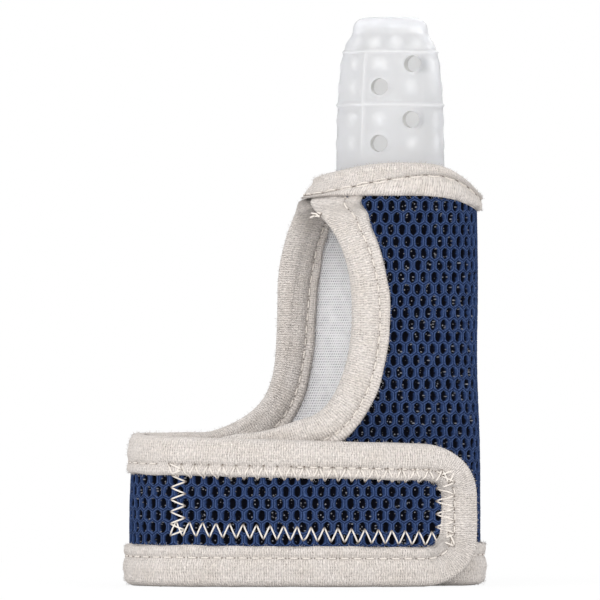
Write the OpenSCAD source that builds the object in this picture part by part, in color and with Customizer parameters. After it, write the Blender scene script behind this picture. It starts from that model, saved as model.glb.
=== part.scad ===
// Child's thumb guard: a padded mesh hand sleeve with a silicone thumb cap and a hook-and-loop wrist strap.
// Millimetres, +Z up. The origin is the middle of the footprint, on the surface that the hem stands on.
// +X runs from the strap's fold to the thumb side, and -Y is the front, which the strap closes over.

/* [Sleeve] */
// Width of the wrist loop, fold to fold
loop_w = 77.6; // [72:0.2:90]
// Depth of the wrist loop, front to back
loop_d = 31.6; // [30:0.2:40]
// Height of the sleeve from the hem to the collar's rim
sleeve_h = 93.4; // [90:0.2:104]
// Height of the wrist band and of the strap
band_h = 33.6; // [29:0.2:37]
// How much wider than deep the thumb tube is at the collar
tube_ease = 3; // [1.4:0.1:5]
// How far the right-hand fold leans in at the collar
tube_lean = 0.8; // [0:0.1:3]
// How far the collar's rim dips at the right-hand fold
dip_right = 6.6; // [0:0.2:8]
// How far the collar's rim dips at the seam
dip_left = 2.8; // [0:0.2:6]
// How far the front tail reaches from the right-hand fold under the strap
tail_reach = 60; // [50:0.5:66]
// Squareness of the loop: 2 is an ellipse, higher is flatter
loop_square = 2.8; // [2.2:0.1:3.6]
// Squareness of the thumb tube at the collar
tube_square = 2.1; // [2:0.1:2.6]

/* [Finger opening] */
// How far the front edge is cut back from the seam
front_cut = 12.6; // [8:0.2:16]
// How far the back edge stands left of the thumb axis
back_edge = 23.6; // [20:0.2:28]
// Sweep of the back edge where it runs out into the strap
back_sweep = 17; // [12:0.5:20]
// Height over which that sweep dies away
back_fade = 5.2; // [4:0.1:7]
// Height of the seam between the opening and the collar's rim
seam_h = 9.2; // [8.8:0.2:14]

/* [Fabric] */
// Thickness of the spacer mesh
mesh_t = 2; // [1.4:0.1:2.6]
// Thickness of the knitted lining
lining_t = 0.5; // [0.3:0.1:0.8]
// Gap between one ply and the next
ply_gap = 0.06; // [0.05:0.01:0.1]
// Width of the binding tape on each face
tape_w = 8.2; // [6:0.1:9]
// Thickness of the binding tape
tape_t = 1; // [0.6:0.1:1.2]
// Diameter of the sewing thread
thread_d = 0.4; // [0.3:0.05:0.5]
// Length of one straight stitch with its gap
stitch_pitch = 2.8; // [2.2:0.1:3.6]
// Distance of the straight stitches from the tape's inner edge
stitch_inset = 2.3; // [1.6:0.1:3]

/* [Strap] */
// Length of the strap from its fold, along the front
strap_len = 86.5; // [80:0.5:88]
// How far the strap's top edge falls towards its tip
strap_fall = 2.4; // [0:0.1:4]
// Corner radius of the strap's free end
strap_end_r = 12; // [8:0.5:14]
// Clearance between the strap and the sleeve
strap_gap = 0.4; // [0.3:0.05:0.8]
// Length of the hook and loop patches
patch_len = 56.4; // [46:0.5:64]
// Clearance between each patch and the tapes above and below it
patch_clear = 0.3; // [0.3:0.05:1.5]
// Thickness of each patch
patch_t = 1; // [0.8:0.05:1.2]
// Distance of the hook patch from the strap's tip
patch_set_back = 8.6; // [8.6:0.1:12]
// Distance of the zigzag seam from the strap's tip and top edge
zigzag_set_back = 6.7; // [6.6:0.1:9]
// Width of the zigzag seam
zigzag_w = 3.6; // [2.6:0.1:4.2]
// Length of one zigzag
zigzag_pitch = 2.9; // [2.2:0.1:3.6]

/* [Thumb cap] */
// Bore for the thumb
bore_d = 20; // [18:0.2:23]
// Wall thickness of the cap
cap_wall = 2; // [1.6:0.1:2.4]
// Height of the cap above the collar's rim
cap_rise = 32.4; // [28:0.2:40]
// Depth of the cap's skirt inside the collar
skirt_depth = 11; // [10.4:0.2:11.2]
// Thickness of the flange that the collar traps
flange_t = 1.5; // [1:0.1:2.5]
// Diameter of an air hole
hole_d = 3.7; // [2.4:0.1:4.4]
// Diameter of a bump
bump_d = 3.6; // [2.4:0.1:4.2]
// Height of a bump
bump_h = 0.5; // [0.3:0.05:0.8]
// Height of a moulded rib
rib_h = 0.35; // [0.2:0.05:0.6]
// Drop of the lower rib from the cap's top
rib_low_drop = 19.2; // [17:0.2:21]
// Drop of the upper rib from the cap's top
rib_high_drop = 7.4; // [6.6:0.2:9]
// How much narrower the cap is at the lower rib than at the collar
rib_low_taper = 0.8; // [0.2:0.1:1.6]
// How much narrower the cap is at the upper rib than at the collar
rib_high_taper = 3.4; // [2:0.1:4.4]
// How much narrower the knob at the tip is than the cap at the collar
knob_taper = 7.2; // [6:0.1:10]
// Height of the knob at the tip
knob_h = 3.3; // [2.6:0.1:4]

/* [Hidden] */

navy = [0.13, 0.21, 0.42];
cream = [0.86, 0.82, 0.77];
white = [0.93, 0.93, 0.94];
thread_colour = [0.92, 0.88, 0.82];
silicone = [0.9, 0.91, 0.92, 0.8];

// Ply stack: the mesh lies outside the lining, and the tape folds over both
slot_gap = 0.2;
sheet_t = mesh_t + ply_gap + lining_t;
tape_proud = slot_gap + tape_t;
roll = slot_gap + 1.5 * tape_t;
flat_half = sheet_t / 2;
fold_gap = 0.4;
thread_gap = 0.12;
thread_stand = thread_gap + thread_d;
end_gap = 0.3;

// The strap lies over the sleeve's bound edge, on its own bound edge
strap_lift = 2 * tape_proud + thread_stand + strap_gap + sheet_t;
y_mid = strap_lift / 2;

// Heights of the bare sheet and of the tape's edges
hem_z = roll;
rim_z = sleeve_h - roll;
strap_top_z = band_h - roll;
seam_z = sleeve_h - seam_h;
collar_low_z = sleeve_h - tape_w;
open_low_z = band_h + 1.6;

// Collar: the tube clears the cap by a fit gap, and its ease is all on the side away from the seam
cap_gap = 0.3;
cap_d = bore_d + 2 * cap_wall;
tube_d = cap_d + 2 * (cap_gap + sheet_t + tape_proud);
tube_w = tube_d + tube_ease;
tube_right = loop_w / 2 - tube_lean;
tube_left = tube_right - tube_w;
thumb_x = tube_left + tube_d / 2;

steps_across = 30;

function lerp(a, b, t) = a + (b - a) * t;
function clamp(v, low, high) = min(max(v, low), high);
function ease(t) = let (u = clamp(t, 0, 1)) u * u * (3 - 2 * u);
function sign_power(v, p) = sign(v) * pow(abs(v), p);

// The loop narrows from the wrist band to the collar: 0 at the band, 1 in the collar
narrow_soft = 0.04;
narrow_top_z = sleeve_h - 2;
function soft_ramp(u) =
  u <= 0 ? 0 : u >= 1 ? 1 - narrow_soft : u < narrow_soft ? u * u / (2 * narrow_soft)
  : u > 1 - narrow_soft ? 1 - narrow_soft - (1 - u) * (1 - u) / (2 * narrow_soft)
  : u - narrow_soft / 2;
function narrowing(z) = soft_ramp((z - band_h) / (narrow_top_z - band_h)) / (1 - narrow_soft);
function left_x(z) = lerp(-loop_w / 2, tube_left, narrowing(z));
function right_x(z) = lerp(loop_w / 2, tube_right, narrowing(z));
function mid_x(z) = (left_x(z) + right_x(z)) / 2;
function half_w(z) = (right_x(z) - left_x(z)) / 2;
function half_d(z) = lerp(loop_d, tube_d, narrowing(z)) / 2;
function square_at(z) = lerp(loop_square, tube_square, narrowing(z));

// The collar's rim dips at its two sides: the dip fades out below the rim, and faster at the seam
dip_fade = 25;
function dip_share(z, depth) = clamp((z - sleeve_h + depth) / depth, 0, 1.2);
function rim_dip(across, z) =
  across > 0 ? dip_right * pow(across, 4) * pow(dip_share(z, dip_fade), 2)
  : dip_left * pow(across, 2) * dip_share(z, tape_w);

// A point of the sleeve: the angle runs from the front (negative) through the right fold (0) to the back,
// and out is the distance outside the mesh's outer face
function on_sleeve(angle, z, out) =
  let (
    across = sign_power(cos(angle), 2 / square_at(z)),
    deep = sign_power(sin(angle), 2 / square_at(z))
  )
  [mid_x(z) + (half_w(z) + out) * across, y_mid + (half_d(z) + out) * deep, z - rim_dip(across, z)];
function angle_at(x, z) =
  acos(sign_power(clamp((x - mid_x(z)) / half_w(z), -1, 1), square_at(z) / 2));

// Edges of the finger opening as x at a height: the front edge is a flattened bow, and the back edge runs
// out into the strap below and turns to the seam above
seam_angle = 179.4;
tail_x = loop_w / 2 - tail_reach;
tail_corner = 5;
open_left = left_x(seam_z);
bow_square = 2.2;
back_x = thumb_x - back_edge;
back_turn = 20;
back_top_x = open_left + 2;
function front_edge_x(z) =
  let (middle = (seam_z + open_low_z) / 2, half = (seam_z - open_low_z) / 2)
  open_left + front_cut * pow(max(0, 1 - pow(abs(z - middle) / half, bow_square)), 1 / bow_square);
function back_edge_x(z) =
  let (turn = clamp((z - seam_z + back_turn) / back_turn, 0, 1))
  lerp(back_x, back_top_x, turn * turn) - back_sweep * exp(-(z - strap_top_z) / back_fade);

// Stations of the two edges as [x, z]: the front from the tail, the back from the strap's fold, both up to
// just under the collar
edge_steps = 16;
fold_steps = 5;
band_rows = 3;
tape_end_z = seam_z - 0.8;
tail_low_z = tape_w + end_gap;
front_line = concat(
  [[tail_x, tail_low_z], [tail_x, lerp(tail_low_z, strap_top_z - tail_corner, 0.5)]],
  [for (a = [0:30:90])
    [tail_x + tail_corner * (1 - cos(a)), strap_top_z - tail_corner * (1 - sin(a))]],
  [for (t = [0.25:0.25:0.75])
    [lerp(tail_x + tail_corner, open_left, t), lerp(strap_top_z, open_low_z, t * t)]],
  [for (i = [2:edge_steps])
    let (z = lerp(open_low_z, tape_end_z, (1 - cos(180 * i / edge_steps)) / 2)) [front_edge_x(z), z]]
);
fold_end_angle = angle_at(back_edge_x(strap_top_z), strap_top_z);
back_line = concat(
  [for (i = [0:fold_steps - 1])
    [on_sleeve(lerp(180, fold_end_angle, i / fold_steps), strap_top_z, 0)[0], strap_top_z]],
  [for (i = [0:edge_steps])
    let (z = lerp(strap_top_z, tape_end_z, pow(i / edge_steps, 1.4))) [back_edge_x(z), z]]
);

// Rows of the sheet as [signed angle, z], the front edge and the back edge in step
collar_rows = 3;
collar = concat(
  [[seam_angle, seam_z]],
  [for (i = [0:collar_rows]) [seam_angle, lerp(collar_low_z, rim_z, i / collar_rows)]]
);
front_rows = concat(
  [for (p = concat([[tail_x, hem_z]], front_line)) [-angle_at(p[0], p[1]), p[1]]],
  [for (p = collar) [-p[0], p[1]]]
);
back_rows = concat(
  [for (i = [0:band_rows - 1]) [180, lerp(hem_z, strap_top_z, i / band_rows)]],
  [for (p = back_line) [angle_at(p[0], p[1]), p[1]]],
  collar
);

// The sleeve's sheet at one distance from its outer face, between two rows; the mesh is joined along a row
// just above the fingers
join_step = 13;
join_row = band_rows + fold_steps + join_step;
top_row = len(front_rows) - 1;
function sleeve_grid(out, low = 0, high = top_row) = [
  for (k = [low:high])
    [for (m = [0:steps_across])
      let (t = m / steps_across)
      on_sleeve(lerp(front_rows[k][0], back_rows[k][0], t), lerp(front_rows[k][1], back_rows[k][1], t), out)]
];

// The strap follows the loop round the front, lifted clear of the sleeve once it has left the fold
lift_angle = 60;
strap_step = 2;
function strap_point(angle, z, out) =
  on_sleeve(angle, z, out + strap_lift * ease((angle - 180) / lift_angle));
strap_run = [for (a = [180:strap_step:360]) [a, strap_point(a, hem_z, -flat_half)]];
function run_length(i) = i == 0 ? 0 : norm(strap_run[i][1] - strap_run[i - 1][1]) + run_length(i - 1);
strap_table = [for (i = [0:len(strap_run) - 1]) [run_length(i), strap_run[i][0]]];
function strap_angle(along) = lookup(along, strap_table);
// A point of the strap: along from the fold, height and distance outside the mesh's outer face
function on_strap(along, z, out) =
  strap_point(strap_angle(along), z * (1 - strap_fall / band_h * along / strap_len), out);

// The strap's outline, measured on the bare sheet, is straight with a rounded tip
strap_start = fold_gap;
strap_tip = strap_len - roll;
tip_r = strap_end_r - roll;
tip_steps = 6;
straight_steps = 22;
function tip_drop(along) =
  let (past = max(0, along - (strap_tip - tip_r))) tip_r - sqrt(max(0, tip_r * tip_r - past * past));
strap_stations = concat(
  [for (i = [0:straight_steps]) lerp(strap_start, strap_tip - tip_r, i / straight_steps)],
  [for (i = [1:tip_steps]) strap_tip - tip_r + tip_r * sin(90 * i / tip_steps)]
);
strap_rows = 2;
function strap_grid(out) = [
  for (along = strap_stations)
    [for (i = [0:strap_rows])
      on_strap(along, lerp(hem_z + tip_drop(along), strap_top_z - tip_drop(along), i / strap_rows), out)]
];

// Points along the strap's edge: [along, z, inward along, inward z]
strap_edge = concat(
  [for (i = [0:straight_steps]) [lerp(strap_start, strap_tip - tip_r, i / straight_steps), hem_z, 0, 1]],
  [for (i = [1:tip_steps])
    let (a = 90 * i / tip_steps)
    [strap_tip - tip_r + tip_r * sin(a), hem_z + tip_r * (1 - cos(a)), -sin(a), cos(a)]],
  [for (i = [0:tip_steps])
    let (a = 90 - 90 * i / tip_steps)
    [strap_tip - tip_r + tip_r * sin(a), strap_top_z - tip_r * (1 - cos(a)), -sin(a), -cos(a)]],
  [for (i = [straight_steps - 1:-1:0])
    [lerp(strap_start, strap_tip - tip_r, i / straight_steps), strap_top_z, 0, -1]]
);

// Section of the folded tape as [inward, out] pairs from the outer leg round the fold to the inner leg,
// measured from the sheet's edge and its middle: the tape's outside, then its inside
slot_half = flat_half + slot_gap;
tape_half = slot_half + tape_t;
foot_half = tape_half / 2;
leg_points = 4;
leg_w = tape_w - roll;
leg_stations = [for (i = [0:leg_points - 1]) leg_w * i / (leg_points - 1)];
function tape_section(half, fold) = concat(
  [for (i = [leg_points - 1:-1:0]) [leg_stations[i], half]],
  [[-fold, foot_half], [-fold, -foot_half]],
  [for (v = leg_stations) [v, -half]]
);
tape_outside = tape_section(tape_half, roll);
tape_inside = tape_section(slot_half, slot_gap);

// Unit direction into the sheet, square to an edge given as [x, z] points, and level at the collar
level_h = 7;
function unit(v) = v / norm(v);
function edge_inward(edge, i) =
  let (
    along = unit(edge[min(len(edge) - 1, i + 1)] - edge[max(0, i - 1)]),
    level = ease((edge[i][1] - tape_end_z + level_h) / level_h)
  )
  unit(lerp([along[1], -along[0]], [1, 0], level));

// A point of the front or back found by its x; side is -1 on the front and 1 on the back
function on_face(x, z, side, out) = on_sleeve(side * angle_at(x, z), z, out);
function line_tape(line, side, section) = [
  for (i = [0:len(line) - 1])
    let (inward = edge_inward(line, i))
    [for (s = section)
      on_face(line[i][0] + inward[0] * s[0], line[i][1] + inward[1] * s[0], side, s[1] - flat_half)]
];
function ring_tape(angles, edge_z, up, section) = [
  for (a = angles) [for (s = section) on_sleeve(a, edge_z + up * s[0], s[1] - flat_half)]
];
function strap_tape(section) = [
  for (p = strap_edge)
    [for (s = section) on_strap(p[0] + p[2] * s[0], p[1] + p[3] * s[0], s[1] - flat_half)]
];

function quad(a, b, c, d) = [[a, b, c], [a, c, d]];
// A closed solid between two matching grids of points, outer and inner; ring joins its last row to its first
module slab(outer, inner, ring = false) {
  rows = len(outer);
  cols = len(outer[0]);
  count = rows * cols;
  points = concat([for (row = outer) each row], [for (row = inner) each row]);
  spans = ring ? rows - 1 : rows - 2;
  faces = concat(
    [for (k = [0:spans], j = [0:cols - 2])
      let (a = k * cols + j, b = ((k + 1) % rows) * cols + j)
      each concat(quad(a, b, b + 1, a + 1), quad(count + a, count + a + 1, count + b + 1, count + b))],
    [for (k = [0:spans])
      let (a = k * cols, b = ((k + 1) % rows) * cols, c = a + cols - 1, d = b + cols - 1)
      each concat(quad(a, count + a, count + b, b), quad(c, d, count + d, count + c))],
    ring ? [] : [for (j = [0:cols - 2])
      let (c = (rows - 1) * cols + j)
      each concat(quad(j, j + 1, count + j + 1, count + j), quad(c, count + c, count + c + 1, c + 1))]
  );
  polyhedron(points, faces);
}

// One straight run of thread from p to q
module thread(p, q) {
  run = q - p;
  length = norm(run);
  translate(p)
    rotate([0, acos(run[2] / length), atan2(run[1], run[0])])
      cylinder(d = thread_d, h = length, $fn = 24);
}

thread_share = 0.62;
mesh_thread_out = thread_gap + thread_d / 2;
thread_out = tape_proud + mesh_thread_out;

// Lengths along a list of points, and the point at one length
function sums(v, i = 0, total = 0) =
  i == len(v) - 1 ? [total] : concat([total], sums(v, i + 1, total + norm(v[i + 1] - v[i])));
function along_line(v, lengths, s) = [
  for (axis = [0:2]) lookup(s, [for (i = [0:len(v) - 1]) [lengths[i], v[i][axis]]])
];

// A row of straight stitches on a list of points
module stitch_row(line) {
  lengths = sums(line);
  total = lengths[len(lengths) - 1];
  count = floor(total / stitch_pitch);
  for (i = [0:count - 1]) {
    start = (i + (1 - thread_share) / 2) * total / count;
    end = start + thread_share * stitch_pitch;
    thread(along_line(line, lengths, start), along_line(line, lengths, end));
  }
}

module thumb_cap() {
  color(silicone) translate([thumb_x, y_mid, 0]) difference() {
    union() {
      rotate_extrude($fn = 96) polygon(cap_outside);
      for (panel = [0:panels - 1]) cap_rib(rib_turn + panel_span * panel);
      for (panel = [0:panels - 1], column = [0, 1], row = [0:3])
        if (!is_hole(panel, column, row)) cap_bump(spot_turn(panel, column), spot_row_z[row]);
      for (i = [0:shoulder_bumps - 1]) cap_bump(360 * i / shoulder_bumps, shoulder_z);
    }
    rotate_extrude($fn = 96) polygon(cap_inside);
    for (column = [0, 1], row = [0:3])
      if (is_hole(0, column, row)) cap_hole(spot_turn(0, column), spot_row_z[row]);
  }
}

// Cap profile: [radius, z] up the outside, with its flange and two moulded ribs, and up the bore
cap_low_z = sleeve_h - skirt_depth;
cap_top_z = sleeve_h + cap_rise;
cap_r = cap_d / 2;
rib_low_z = cap_top_z - rib_low_drop;
rib_high_z = cap_top_z - rib_high_drop;
rib_low_r = (cap_d - rib_low_taper) / 2;
rib_high_r = (cap_d - rib_high_taper) / 2;
knob_r = (cap_d - knob_taper) / 2;
knob_z = cap_top_z - knob_h;
knob_round = 0.66 * knob_h;
knob_draft = 0.2;
neck_flare = 0.9;
neck_r = knob_r + neck_flare;
neck_z = knob_z - neck_flare;
shoulder_z = (rib_high_z + neck_z) / 2 + bump_h;
rib_half = 0.5;
barrel = 0.12;
flange_clear = 0.4;
flange_r = half_d(cap_low_z) - sheet_t - flange_clear;
function rib_points(r, z) = [
  [r, z - rib_half], [r + rib_h, z - rib_half / 3], [r + rib_h, z + rib_half / 3], [r, z + rib_half]
];
cap_outside = concat(
  [[0, cap_low_z], [flange_r, cap_low_z], [flange_r, cap_low_z + flange_t], [cap_r, cap_low_z + flange_t]],
  [[cap_r, sleeve_h]],
  rib_points(rib_low_r, rib_low_z),
  [[lerp(rib_low_r, rib_high_r, 0.5) + barrel, lerp(rib_low_z, rib_high_z, 0.5)]],
  rib_points(rib_high_r, rib_high_z),
  [[neck_r, neck_z], [knob_r, knob_z]],
  [for (a = [0:15:90])
    [knob_r - knob_draft - knob_round * (1 - cos(a)), cap_top_z - knob_round * (1 - sin(a))]],
  [[0, cap_top_z]]
);
bore_top_z = rib_low_z - rib_half;
bore_r = bore_d / 2;
tip_in_r = knob_r - cap_wall;
cap_inside = [
  [0, cap_low_z - 1], [bore_r, cap_low_z - 1], [bore_r, bore_top_z], [rib_high_r - cap_wall, rib_high_z],
  [tip_in_r, neck_z], [tip_in_r - knob_round, cap_top_z - cap_wall], [0, cap_top_z - cap_wall]
];

// Bumps and holes: two columns of four on each panel between ribs, with staggered holes on the front panel
panels = 5;
panel_span = 360 / panels;
rib_turn = -122;
shoulder_bumps = 12;
// Heights of the four rows of spots: two between the collar and the lower rib, and two between the ribs
collar_spot_clear = 4.7;
rib_spot_clear = 3.3;
spot_row_z = [
  sleeve_h + collar_spot_clear, rib_low_z - rib_spot_clear, rib_low_z + collar_spot_clear - rib_h,
  rib_high_z - rib_spot_clear + rib_h
];
function spot_turn(panel, column) = rib_turn + panel_span * (panel + (column == 0 ? 0.25 : 0.75));
function is_hole(panel, column, row) = panel == 0 && (row + column) % 2 == 0;
function cap_radius_at(z) =
  z > rib_high_z ? lerp(rib_high_r, neck_r, (z - rib_high_z) / (neck_z - rib_high_z))
  : z > rib_low_z ? lerp(rib_low_r, rib_high_r, (z - rib_low_z) / (rib_high_z - rib_low_z))
  : lerp(cap_r, rib_low_r, (z - sleeve_h) / (rib_low_z - sleeve_h));
bump_sphere_r = (bump_d * bump_d / 4 + bump_h * bump_h) / (2 * bump_h);
module cap_bump(turn, z) {
  rotate([0, 0, turn]) translate([cap_radius_at(z) + bump_h - bump_sphere_r, 0, z])
    sphere(bump_sphere_r, $fn = 48);
}
module cap_hole(turn, z) {
  rotate([0, 0, turn]) translate([0, 0, z]) rotate([0, 90, 0]) cylinder(d = hole_d, h = cap_d, $fn = 48);
}
module cap_rib(turn) {
  rotate([0, 0, turn]) {
    lean = atan((cap_r - rib_low_r) / (rib_low_z - sleeve_h));
    translate([cap_r - rib_h / 2, 0, sleeve_h]) rotate([0, -lean, 0])
      cylinder(r = rib_h, h = (rib_low_z - sleeve_h) / cos(lean), $fn = 24);
    lean_up = atan((rib_low_r - rib_high_r) / (rib_high_z - rib_low_z));
    translate([rib_low_r - rib_h / 2, 0, rib_low_z]) rotate([0, -lean_up, 0])
      cylinder(r = rib_h, h = (rib_high_z - rib_low_z) / cos(lean_up), $fn = 24);
  }
}

module sleeve_shell() {
  color(navy) slab(sleeve_grid(0, 0, join_row), sleeve_grid(-mesh_t, 0, join_row));
}

module sleeve_shell_upper() {
  color(navy) slab(sleeve_grid(0, join_row, top_row), sleeve_grid(-mesh_t, join_row, top_row));
}

module sleeve_lining() {
  color(white) slab(sleeve_grid(-mesh_t - ply_gap), sleeve_grid(-sheet_t));
}

ring_angles = [for (i = [0:steps_across - 1]) lerp(-180, 180, i / steps_across)];
module collar_binding() {
  color(cream)
    slab(
      ring_tape(ring_angles, rim_z, -1, tape_outside), ring_tape(ring_angles, rim_z, -1, tape_inside), true
    );
}

module opening_binding_front() {
  color(cream) slab(line_tape(front_line, -1, tape_outside), line_tape(front_line, -1, tape_inside));
}

module opening_binding_back() {
  color(cream) slab(line_tape(back_line, 1, tape_outside), line_tape(back_line, 1, tape_inside));
}

// The hem runs from the tail, round the right-hand fold, to the strap's fold
hem_angles = [
  for (i = [0:steps_across]) lerp(front_rows[0][0], back_rows[0][0], i / steps_across)
];
module hem_binding() {
  color(cream)
    slab(ring_tape(hem_angles, hem_z, 1, tape_outside), ring_tape(hem_angles, hem_z, 1, tape_inside));
}

module strap_shell() {
  color(navy) slab(strap_grid(0), strap_grid(-mesh_t));
}

module strap_lining() {
  color(white) slab(strap_grid(-mesh_t - ply_gap), strap_grid(-sheet_t));
}

module strap_binding() {
  color(cream) slab(strap_tape(tape_outside), strap_tape(tape_inside));
}

// Patches fill the band's height between the tapes
patch_low_z = tape_w + patch_clear;
patch_high_z = band_h - tape_w - patch_clear;
patch_end = strap_len - patch_set_back;
patch_start = patch_end - patch_len;
patch_steps = 14;
corner_steps = 3;
patch_corner = strap_end_r - tape_w;
patch_stations = concat(
  [for (i = [0:patch_steps]) (patch_len - patch_corner) * i / patch_steps],
  [for (i = [1:corner_steps]) patch_len - patch_corner + patch_corner * sin(90 * i / corner_steps)]
);
// The tip end of each patch has rounded corners: this much is taken off its height at a station
function patch_drop(v) =
  let (past = max(0, v - patch_len + patch_corner))
  patch_corner - sqrt(max(0, patch_corner * patch_corner - past * past));
patch_gap = 0.2;
hook_colour = [0.2, 0.22, 0.27];
function patch_grid(out) = [
  for (v = patch_stations)
    [for (z = [patch_low_z + patch_drop(v), patch_high_z - patch_drop(v)]) on_strap(patch_start + v, z, out)]
];
module hook_patch() {
  color(hook_colour) slab(patch_grid(-sheet_t - patch_gap), patch_grid(-sheet_t - patch_gap - patch_t));
}

loop_start_x = tail_x + tape_w + end_gap;
loop_patch_len = min(patch_len, loop_w / 2 - loop_start_x - loop_d / 4);
function loop_grid(out) = [
  for (i = [0:patch_steps])
    let (x = loop_start_x + loop_patch_len * i / patch_steps)
    [for (z = [patch_low_z, patch_high_z]) on_face(x, z, -1, out)]
];
module loop_patch() {
  color(navy) slab(loop_grid(patch_gap + patch_t), loop_grid(patch_gap));
}

// Zigzag round the hook patch: the legs of the thread between its needle holes, on the strap's face
leg_trim = 0.17;
function zig_side(from, to, inward) =
  let (count = 2 * round(norm(to - from) / zigzag_pitch))
  [for (i = [0:count - 1]) lerp(from, to, i / count) + (i % 2 == 1 ? inward * zigzag_w : [0, 0])];
zig_low = [patch_start, patch_low_z + zigzag_pitch];
zig_high = [strap_len - zigzag_set_back - 2 * thread_d, band_h - zigzag_set_back];
// The seam cuts the tip's upper corner, inside the tape's stitches
zig_cut = [3.2, 2.3];
zig_corner = [zig_high - [0, zig_cut[1]], zig_high - [zig_cut[0], 0]];
// Whether a point [along, z] lies on the bare mesh, clear of the tape
window_clear = thread_d / 2 + 0.05;
function on_mesh(p) =
  norm([
    max(0, p[0] - strap_len + strap_end_r), max(0, abs(p[1] - band_h / 2) - band_h / 2 + strap_end_r)
  ]) <= strap_end_r - tape_w - window_clear;
zig_line = concat(
  zig_side(zig_low, [zig_high[0], zig_low[1]], [0, 1]),
  zig_side([zig_high[0], zig_low[1]], zig_corner[0], [-1, 0]),
  zig_side(zig_corner[0], zig_corner[1], -unit(zig_cut)),
  zig_side(zig_corner[1], [zig_low[0], zig_high[1]], [0, -1]),
  zig_side([zig_low[0], zig_high[1]], zig_low, [1, 0])
);
module zigzag_thread() {
  color(thread_colour)
    for (i = [0:len(zig_line) - 1]) {
      p = zig_line[i];
      q = zig_line[(i + 1) % len(zig_line)];
      a = lerp(p, q, leg_trim);
      b = lerp(p, q, 1 - leg_trim);
      out = on_mesh(a) && on_mesh(b) ? mesh_thread_out : thread_out;
      thread(on_strap(a[0], a[1], out), on_strap(b[0], b[1], out));
    }
}

stitch_in = tape_w - roll - stitch_inset;
module strap_thread() {
  color(thread_colour)
    stitch_row([
      for (p = strap_edge) on_strap(p[0] + p[2] * stitch_in, p[1] + p[3] * stitch_in, thread_out)
    ]);
}

module collar_thread() {
  color(thread_colour)
    stitch_row([for (a = [-178:4:178]) on_sleeve(a, rim_z - stitch_in, thread_out)]);
}

function line_stitch(line, side) = [
  for (i = [0:len(line) - 1])
    let (inward = edge_inward(line, i))
    on_face(line[i][0] + inward[0] * stitch_in, line[i][1] + inward[1] * stitch_in, side, thread_out)
];
module opening_thread_front() {
  color(thread_colour) stitch_row(line_stitch(front_line, -1));
}

module opening_thread_back() {
  color(thread_colour) stitch_row(line_stitch(back_line, 1));
}

module hem_thread() {
  color(thread_colour) stitch_row([for (a = hem_angles) on_sleeve(a, hem_z + stitch_in, thread_out)]);
}

module loop_patch_thread() {
  color(thread_colour)
    for (z = [patch_low_z + stitch_inset, patch_high_z - stitch_inset])
      stitch_row([for (row = loop_grid(patch_gap + patch_t + mesh_thread_out)) [row[0][0], row[0][1], z]]);
}

// Tack stitches across the seam, in the gap between the opening's tapes and the collar's
tack_span = 56;
tack_z = (seam_z + collar_low_z) / 2;
module seam_tack() {
  color(thread_colour)
    stitch_row([
      for (a = [-tack_span / 2:4:tack_span / 2]) on_sleeve(180 + a, tack_z, mesh_thread_out)
    ]);
}

thumb_cap();
sleeve_shell();
sleeve_shell_upper();
sleeve_lining();
collar_binding();
opening_binding_front();
opening_binding_back();
hem_binding();
strap_shell();
strap_lining();
strap_binding();
hook_patch();
loop_patch();
zigzag_thread();
strap_thread();
collar_thread();
opening_thread_front();
opening_thread_back();
hem_thread();
loop_patch_thread();
seam_tack();
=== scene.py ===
"""Looks of a child's thumb guard: silicone cap, mesh sleeve, knitted tape and wrist strap.

Shapes are worked out in millimetres in the part's own frame, and turned to metres as a mesh is made.
"""

import bmesh
import bpy
import numpy as np
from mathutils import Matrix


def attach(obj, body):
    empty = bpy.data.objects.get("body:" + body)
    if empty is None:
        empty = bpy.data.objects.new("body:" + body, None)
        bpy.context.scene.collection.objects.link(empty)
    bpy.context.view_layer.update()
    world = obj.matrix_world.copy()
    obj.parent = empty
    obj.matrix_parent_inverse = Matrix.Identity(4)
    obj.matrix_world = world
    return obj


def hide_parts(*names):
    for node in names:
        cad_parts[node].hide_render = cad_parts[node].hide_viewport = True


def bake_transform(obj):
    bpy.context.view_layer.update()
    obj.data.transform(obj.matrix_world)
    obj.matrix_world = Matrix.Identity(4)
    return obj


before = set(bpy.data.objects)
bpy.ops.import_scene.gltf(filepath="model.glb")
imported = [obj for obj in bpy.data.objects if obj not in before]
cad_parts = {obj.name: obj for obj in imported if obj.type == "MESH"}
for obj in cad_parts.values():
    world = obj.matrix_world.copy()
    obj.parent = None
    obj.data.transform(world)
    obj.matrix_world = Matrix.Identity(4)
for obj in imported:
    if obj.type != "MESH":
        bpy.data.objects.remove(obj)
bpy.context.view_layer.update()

MM = 0.001
SEED = 11

# Sleeve: the wrist loop, the thumb tube above it and the plies of its cloth
LOOP_W, LOOP_D = 77.6, 31.6
SLEEVE_H, BAND_H = 93.4, 33.6
LOOP_SQUARE, TUBE_SQUARE = 2.8, 2.1
DIP_RIGHT, DIP_LEFT, DIP_FADE = 6.6, 2.8, 25.0
MESH_T, LINING_T, PLY_GAP = 2.0, 0.5, 0.06
SHEET_T = MESH_T + PLY_GAP + LINING_T
FLAT_HALF = SHEET_T / 2
Y_MID = 2.94

# How far the folds are drawn in, and over what height: at the band's top, at the tacks, on the right
BAND_PINCH, BAND_PINCH_SPAN = 0.7, 9.0
TACK_PINCH, TACK_PINCH_SPAN = 0.9, 3.2
RIGHT_PINCH, RIGHT_PINCH_Z, RIGHT_PINCH_SPAN = 0.5, 48.0, 14.0

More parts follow.
